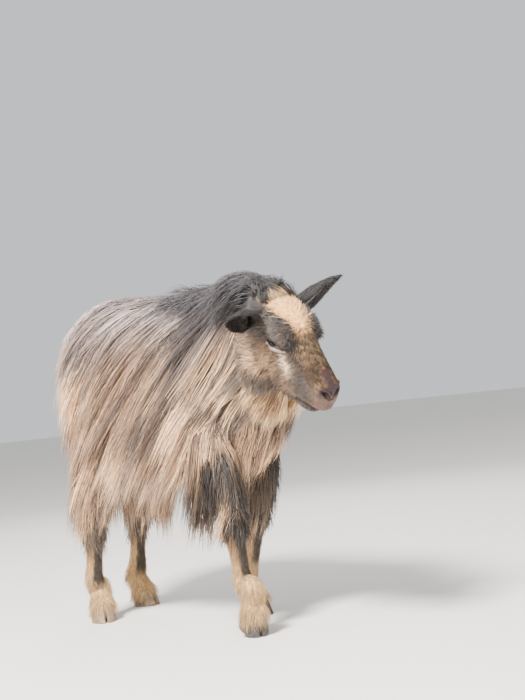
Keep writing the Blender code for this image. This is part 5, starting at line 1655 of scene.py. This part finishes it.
head_middles = head_local[head_faces].mean(axis=1)
face_bare = head_bare[head_faces].mean(axis=1)
in_slit = np.zeros(len(head_middles), dtype=bool)
for side in (1, -1):
    lx, ly, lz = from_eye(head_middles, side).T
    in_slit |= (ly < upper_edge(lx) + 0.0030) & (ly > lower_edge(lx) - 0.0064) & (lz > 0.0) & (
        lx > SLIT_BACK - 0.002) & (lx < SLIT_FRONT + 0.004)
face_ground = (face_bare < 0.25) & ~in_slit & (head_middles[:, 0] > -0.035)
count = int(58000 * DENSITY)
spots, normals, owners = roots_on(head_local, head_faces, face_ground, count, rng)
lengths = face_length(spots, normals) * rng.uniform(0.75, 1.2, count)
rise = face_rise(spots) * rng.uniform(0.6, 1.5, count)
lines, outs = short_fur(spots, normals, face_lie(spots, normals), lengths, rise, 2, rng)
places = combed(spots, normals)
streak = ripple(places, 0.0075, 31) + 0.6 * ripple(places, 0.014, 32)
tones = np.clip(0.50 + 0.62 * streak + 0.3 * (rng.random(count) - 0.5), 0.0, 1.0)
root_colours = head_colours(spots)
evenness = on_blaze(root_colours, spots)
root_colours *= (0.20 + 1.70 * (tones + (0.50 - tones) * 0.75 * evenness))[:, None]
make_face_coat("face_fur", lines, outs, rng.uniform(0.0003, 0.0006, count), (1.0, 0.2), root_colours, 0.30,
               spots, SHORT_HAIR)

# %% Longer guard hairs of the face
count = int(5600 * DENSITY)
guard_ground = face_ground & (head_middles[:, 0] < 0.165) & (face_bare < 0.02)
guard_ground &= ~((head_middles[:, 0] < 0.040) & (head_middles[:, 2] > 0.035))
guard_spots, normals, owners = roots_on(head_local, head_faces, guard_ground, count, rng)
lengths = face_length(guard_spots, normals) * rng.uniform(1.1, 1.7, count)
rise = face_rise(guard_spots) * rng.uniform(1.0, 1.9, count)
lines, outs = short_fur(guard_spots, normals, face_lie(guard_spots, normals), lengths, rise, 3, rng, 0.30)
streak = ripple(combed(guard_spots, normals), 0.0075, 31)
guard_tones = np.clip(0.5 + 0.45 * streak + 0.5 * (rng.random(count) - 0.5), 0.0, 1.0)
guard_colours = head_colours(guard_spots)
evenness = on_blaze(guard_colours, guard_spots)
guard_colours *= (0.20 + 1.9 * guard_tones * (1.0 - evenness) + 0.75 * evenness)[:, None]
make_face_coat("face_guard_hair", lines, outs, rng.uniform(0.0004, 0.0008, count), (0.9, 1.0, 0.2),
               guard_colours, 0.35, guard_spots, LONG_HAIR)

# %% Beard, cheek fringe and forelock
def tuft(name, keep, spacing, count, lie, length, clear, fall, sway, stations, gather, loose, thick, colour_of,
         droop=(0, 0, -1)):
    """Long hair on part of the head: guides first, then strands round them."""
    def lie_of(p, n):
        return np.tile(np.array(HEAD_TURN.to_3x3() @ Vector(lie)), (len(p), 1))
    guides, guide_outs = grow_coat(keep, spacing, lie_of, lambda p, n: np.full(len(p), length),
                                   lambda p, n, rng: rng.uniform(*clear, len(p)), fall, sway, rng,
                                   lambda p: np.tile(droop, (len(p), 1)), head_skin, head_faces)
    count = int(count * DENSITY)
    roots, normals, _ = roots_on(head_skin, head_faces, keep, count, rng)
    lines, outs, owner = strands_from(guides, guide_outs, roots, normals, stations, gather, loose, rng,
                                      (0.6, 1.06))
    lines = lift_strands(lines, 0.002)
    lock_tones = 0.22 * rng.normal(size=len(guides))[owner]
    tones = np.clip(0.5 + lock_tones + 0.5 * (rng.random(count) - 0.5), 0.0, 1.0)
    widths = rng.uniform(thick * 0.75, thick * 1.25, count)
    make_coat(name, lines, outs, widths, TAPER, toned(tones, colour_of, 0.75, roots),
              unwrap(to_head(roots), "head"), LONG_HAIR, "face_hair")
    print(name, "guides", len(guides))


def beard_colours(points, tone, along):
    colours = np.tile(linear("#d0a06a"), (len(points), 1))
    colours = blend_to(colours, "#6b4a2a", step_between(0.50 - tone, 0.0, 0.35))
    return blend_to(colours, "#fbd9a8", step_between(tone, 0.48, 0.85))


def cheek_colours(points, tone, along):
    colours = blend_to(head_colours(to_head(points)), "#3e2f24", 0.75 * step_between(0.48 - tone, 0.0, 0.35))
    return blend_to(colours, "#ecc79a", 0.55 * step_between(tone, 0.6, 0.95))


def forelock_colours(points, tone, along):
    local = to_head(points)
    pale = (1.0 - step_between(np.abs(local[:, 1]), 0.018, 0.028)) * step_between(local[:, 0], 0.0, 0.012)
    colours = np.tile(linear("#1f1b1d"), (len(points), 1))
    return blend_to(colours, "#e8bd86", 0.6 * pale)


hx, hy, hz = head_middles.T
chin = (hx > 0.045) & (hx < 0.132) & (hz < -0.072) & (np.abs(hy) < 0.034)
cheeks = (hx < 0.100) & (hx > -0.02) & (hz < -0.035) & (np.abs(hy) > 0.012)
poll = (hx < 0.022) & (hz > 0.040) & (np.abs(hy) < 0.046)
tuft("beard", chin, 0.0085, 2600, (-0.25, 0.0, -1.0), 0.118, (0.002, 0.014), 0.95, 0.16, 6, 0.52, 0.006,
     0.0009, beard_colours, (-0.78, 0.0, -1.0))
tuft("cheek_fringe", cheeks, 0.013, 2600, (-0.60, 0.0, -0.80), 0.052, (0.003, 0.009), 0.75, 0.16, 5, 0.50, 0.005,
     0.0008, cheek_colours, (-0.2, 0.0, -1.0))
tuft("forelock", poll, 0.011, 1400, (-0.60, -0.1, 0.80), 0.046, (0.010, 0.022), 0.30, 0.30, 5, 0.45, 0.006,
     0.0008, forelock_colours, (-0.5, -0.2, 0.2))

# %% [markdown]
# ## Hair of the ears
# The back of an ear is covered with flat dark fur, and pale longer hairs stand out of its cup.
# The near ear's cup is painted darker, with few pale hairs, as painted shade.

# %% Ear fur
for label, item in ears.items():
    points, faces = read_mesh(item.data)
    points -= np.array(SHIFT)
    ring_size = 2 * (EAR_ACROSS + 1)
    inside = (np.arange(len(points)) % ring_size) > EAR_ACROSS
    base, along, across, back = (np.array(v) for v in ear_frame(label))
    count = int(5200 * DENSITY)
    quads = np.hstack([faces, faces[:, -1:]])
    spots, face_normals, pick = roots_on(points, quads, np.ones(len(quads), dtype=bool), count, rng)
    in_cup = inside[faces[pick]].mean(axis=1) > 0.5
    off_axis = (spots - base) - np.outer((spots - base) @ along, along)
    on_outside = np.where(in_cup[:, None], 0.0, 1.0)
    lies = np.tile(along, (count, 1)) - on_outside * off_axis * 10.0 + rng.normal(size=(count, 3)) * 0.1
    place = (spots - base) @ along / EAR_LENGTH
    lengths = np.where(in_cup, rng.uniform(0.008, 0.014, count), rng.uniform(0.006, 0.009, count))
    lengths *= 1.2 - 0.5 * place
    lines, outs = short_fur(spots, face_normals, lies, lengths, np.where(in_cup, 0.40, 0.10), 2, rng, 0.20)
    tones = rng.random(count)

    def ear_colours(points, along_blade, mine, size):
        tone = np.repeat(tones[mine], size)
        cup = np.repeat(in_cup[mine].astype(float), size)
        root = np.repeat(1.0 - step_between(place[mine], 0.12, 0.34), size)
        colours = np.tile(linear("#1c191b"), (len(points), 1))
        # The near (right) ear's cup is painted dark, with few pale hairs, as painted shade; the far ear keeps
        # the cup's own colours.
        colours = blend_to(colours, "#67605f" if label == "left" else "#3a302c", cup * (0.25 + 0.6 * tone))
        colours = blend_to(colours, "#d6c8b6", cup * root * (0.8 if label == "left" else 0.15))
        return colours * (0.75 + 0.5 * tone)[:, None]

    make_coat("ear_fur_" + label, lines, outs, rng.uniform(0.0003, 0.0005, count), (1.0, 0.2), ear_colours,
              unwrap(to_head(spots), "head"), SHORT_HAIR, "dark_hair")

# %% [markdown]
# ## Hair of the legs
# The forearms carry shaggy dark hair to below the knee, and the hocks a woolly grey puff.  The
# shanks are clothed in short cream hair that grows longer at the fetlock and hangs over the hoof.

# %% Shaggy upper legs
def leg_lie(p, n):
    return np.stack((n[:, 0] * 0.3 - 0.15, n[:, 1] * 0.3, np.full(len(p), -1.0)), axis=1)


def leg_droop(p):
    return np.tile((-0.10, 0.0, -1.0), (len(p), 1))


def shag_length(p, n):
    return np.interp(p[:, 2], (0.23, 0.30, 0.40), (0.050, 0.070, 0.10))


for foot in FEET:
    fore = foot.startswith("fore")
    keep = (body_parts == foot) & (middles[:, 2] > (0.236 if fore else 0.200))
    guides, guide_outs = grow_coat(keep, 0.015, leg_lie, shag_length,
                                   lambda p, n, rng: rng.uniform(0.003, 0.015, len(p)),
                                   0.9, 0.22, rng, leg_droop)
    count = int(1400 * DENSITY)
    roots, normals, _ = roots_on(body_skin, body_faces, keep, count, rng)
    lines, outs, owner = strands_from(guides, guide_outs, roots, normals, 5, 0.50, 0.007, rng)
    lines = lift_strands(lines, 0.003)
    lock_tones = 0.25 * rng.normal(size=len(guides))[owner]
    tones = np.clip(0.45 + lock_tones + 0.2 * (rng.random(count) - 0.5), 0.0, 1.0)

    def shaggy_colours(points, tone, along, fore=fore):
        colours = np.tile(linear("#231913" if fore else "#5e4d42"), (len(points), 1))
        colours = blend_to(colours, "#4c3828" if fore else "#b39a82", step_between(tone, 0.5, 0.95))
        tips = 0.4 * step_between(along, 0.7, 1.0) * step_between(tone, 0.3, 0.8)
        return blend_to(colours, "#94714b" if fore else "#cdb08a", tips)

    make_coat("shag_" + foot, lines, outs, rng.uniform(0.0008, 0.0013, count), TAPER,
              toned(tones, shaggy_colours, 0.7), unwrap(roots, foot), LONG_HAIR,
              "leg_coat_dark" if fore else "body_coat")

# %% Short fur of the shanks
for foot in FEET:
    keep = (body_parts == foot) & (middles[:, 2] < 0.262)
    count = int(8500 * DENSITY)
    spots, normals, _ = roots_on(body_skin, body_faces, keep, count, rng)
    lengths = np.interp(spots[:, 2], (0.02, 0.05, 0.09, 0.12, 0.26), (0.028, 0.032, 0.024, 0.017, 0.020))
    lengths *= rng.uniform(0.7, 1.25, count)
    heading = math.radians(FEET[foot][2])
    behind = normals[:, :2] @ np.array((math.cos(heading), math.sin(heading))) < -0.3
    lengths = lengths * np.where(behind & (spots[:, 2] < 0.12), 1.4, 1.0)
    lies = np.stack((normals[:, 0] * 0.1 - 0.1, normals[:, 1] * 0.1, np.full(count, -1.0)), axis=1)
    low = 1.0 - step_between(spots[:, 2], 0.03, 0.10)
    rise = rng.uniform(0.25, 0.50, count) + 0.12 * low
    lines, outs = short_fur(spots, normals, lies, lengths, rise, 2, rng, 0.18)
    lines[..., 2] = np.maximum(lines[..., 2], 0.006)
    clump = ripple(spots * np.array((1.0, 1.0, 0.25)), 0.0075, 41)
    tones = np.clip(0.5 + 0.34 * clump + 0.6 * (rng.random(count) - 0.5), 0.0, 1.0)

    def shank_colours(points, along, mine, size, foot=foot):
        root = np.repeat(spots[mine], size, axis=0)
        tone = np.repeat(tones[mine], size)
        return leg_colours(root, foot) * ((0.46 + 1.0 * tone) * (0.85 + 0.2 * along))[:, None]

    make_coat("shank_fur_" + foot, lines, outs, rng.uniform(0.0004, 0.0007, count), (1.0, 0.2), shank_colours,
              unwrap(spots, foot), SHORT_HAIR, "leg_hair")

# %% [markdown]
# ## Stage, light and camera
# A pale seamless floor, a large soft key light, a broad fill and a light from behind that picks
# out the coat's edge.  The camera stands where the photographer stood, to the right and ahead.

# %% Floor and backdrop
def plain_material(name, code, roughness):
    """Matt painted board: no gloss, a faint unevenness."""
    material, tree, shader = new_material(name, {"Roughness": roughness})
    place = add_node(tree, "ShaderNodeTexCoord")
    cloud = add_node(tree, "ShaderNodeTexNoise", values={"Scale": 3.0, "Detail": 3.0},
                     links={"Vector": place.outputs["Object"]})
    ramp = add_node(tree, "ShaderNodeValToRGB", links={"Fac": cloud.outputs["Fac"]})
    ramp.color_ramp.elements[0].color = (*(linear(code) * 0.97), 1.0)
    ramp.color_ramp.elements[1].color = (*linear(code), 1.0)
    tree.links.new(ramp.outputs["Color"], shader.inputs["Base Color"])
    return material


bpy.ops.mesh.primitive_circle_add(vertices=96, radius=40.0, fill_type="NGON", location=(0, 0, 0))
floor = bpy.context.object
floor.name = "studio_floor"
floor.data.materials.append(plain_material("pale_floor", "#e4e1dc", 0.9))

world = bpy.data.worlds.new("soft_room")
bpy.context.scene.world = world
world.use_nodes = True
world.node_tree.nodes["Background"].inputs["Color"].default_value = (*linear("#e9ebee"), 1.0)
world.node_tree.nodes["Background"].inputs["Strength"].default_value = 1.0


def soft_light(name, place, aim, size, power, colour):
    """A square panel of light, turned towards its aim."""
    data = bpy.data.lights.new(name, "AREA")
    data.size = size
    data.energy = power
    data.color = colour
    item = bpy.data.objects.new(name, data)
    turn = (Vector(aim) - Vector(place)).to_track_quat("-Z", "Y").to_matrix().to_4x4()
    item.matrix_world = Matrix.Translation(place) @ turn
    bpy.context.scene.collection.objects.link(item)
    return item


soft_light("key", (1.0, -3.0, 3.7), (0.0, 0.0, 0.45), 1.0, 1000.0, (1.0, 0.96, 0.90))
soft_light("fill", (3.6, -0.4, 1.2), (0.0, 0.0, 0.45), 2.6, 20.0, (0.95, 0.97, 1.0))
soft_light("back", (-2.2, 2.4, 2.4), (0.0, 0.0, 0.5), 1.6, 70.0, (1.0, 1.0, 1.0))

# %% Camera
VIEW_AZIMUTH = math.radians(50.0)
VIEW_HEIGHT = math.radians(2.0)
VIEW_ROLL = math.radians(-6.0)
VIEW_DISTANCE = 2.94
FOCAL_PIXELS = 1250.0
PICTURE = (525.0, 700.0)
SUBJECT_PIXEL = (206.0, 450.0)

back = Vector((math.sin(VIEW_AZIMUTH) * math.cos(VIEW_HEIGHT),
               -math.cos(VIEW_AZIMUTH) * math.cos(VIEW_HEIGHT),
               math.sin(VIEW_HEIGHT)))
right = (-back).cross(Vector((0, 0, 1))).normalized()
up = right.cross(-back)
right, up = (right * math.cos(VIEW_ROLL) + up * math.sin(VIEW_ROLL),
             up * math.cos(VIEW_ROLL) - right * math.sin(VIEW_ROLL))
aim = (-back + right * ((PICTURE[0] / 2 - SUBJECT_PIXEL[0]) / FOCAL_PIXELS)
       + up * ((SUBJECT_PIXEL[1] - PICTURE[1] / 2) / FOCAL_PIXELS)).normalized()
right = (right - aim * right.dot(aim)).normalized()
turn = Matrix((right, right.cross(aim), -aim)).transposed().to_4x4()
camera = bpy.data.objects.new("camera", bpy.data.cameras.new("camera"))
camera.matrix_world = Matrix.Translation(Vector((0, 0, 0.4)) + back * VIEW_DISTANCE + SHIFT) @ turn
camera.data.sensor_width = 36.0
camera.data.lens = FOCAL_PIXELS / PICTURE[1] * camera.data.sensor_width
bpy.context.scene.collection.objects.link(camera)
bpy.context.scene.camera = camera

# %% [markdown]
# ## Pieces on the body
# Every piece rides on the goat's one body, and the solids that the skin, eyes, ears and hooves stand for are
# hidden.

# %% Tie the pieces to the solids
leg_nodes = [half + foot for foot in FEET for half in ("upper_leg_", "lower_leg_")]
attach(skin_body, "root")
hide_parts("torso", "neck", "tail", *leg_nodes)
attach(skin_head, "root")
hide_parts("head")
for item in eye_pieces:
    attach(item, "root")
    if item.name.startswith("eyeball"):
        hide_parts(item.name.replace("eyeball", "eye"))
for label, item in ears.items():
    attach(item, "root")
    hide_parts("ear_" + label)
for item, node in hooves:
    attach(item, "root")
    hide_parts(node)
for item, slot in coat_pieces:
    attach(item, "root")
floor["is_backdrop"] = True

low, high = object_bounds()
counts = [len(item.data.polygons) for item, _ in coat_pieces]
print("coat triangles", sum(counts), "skin", len(body_faces) * 2 + len(head_faces) * 2)
print("visual box", [round(v, 3) for v in (*low, *high)])
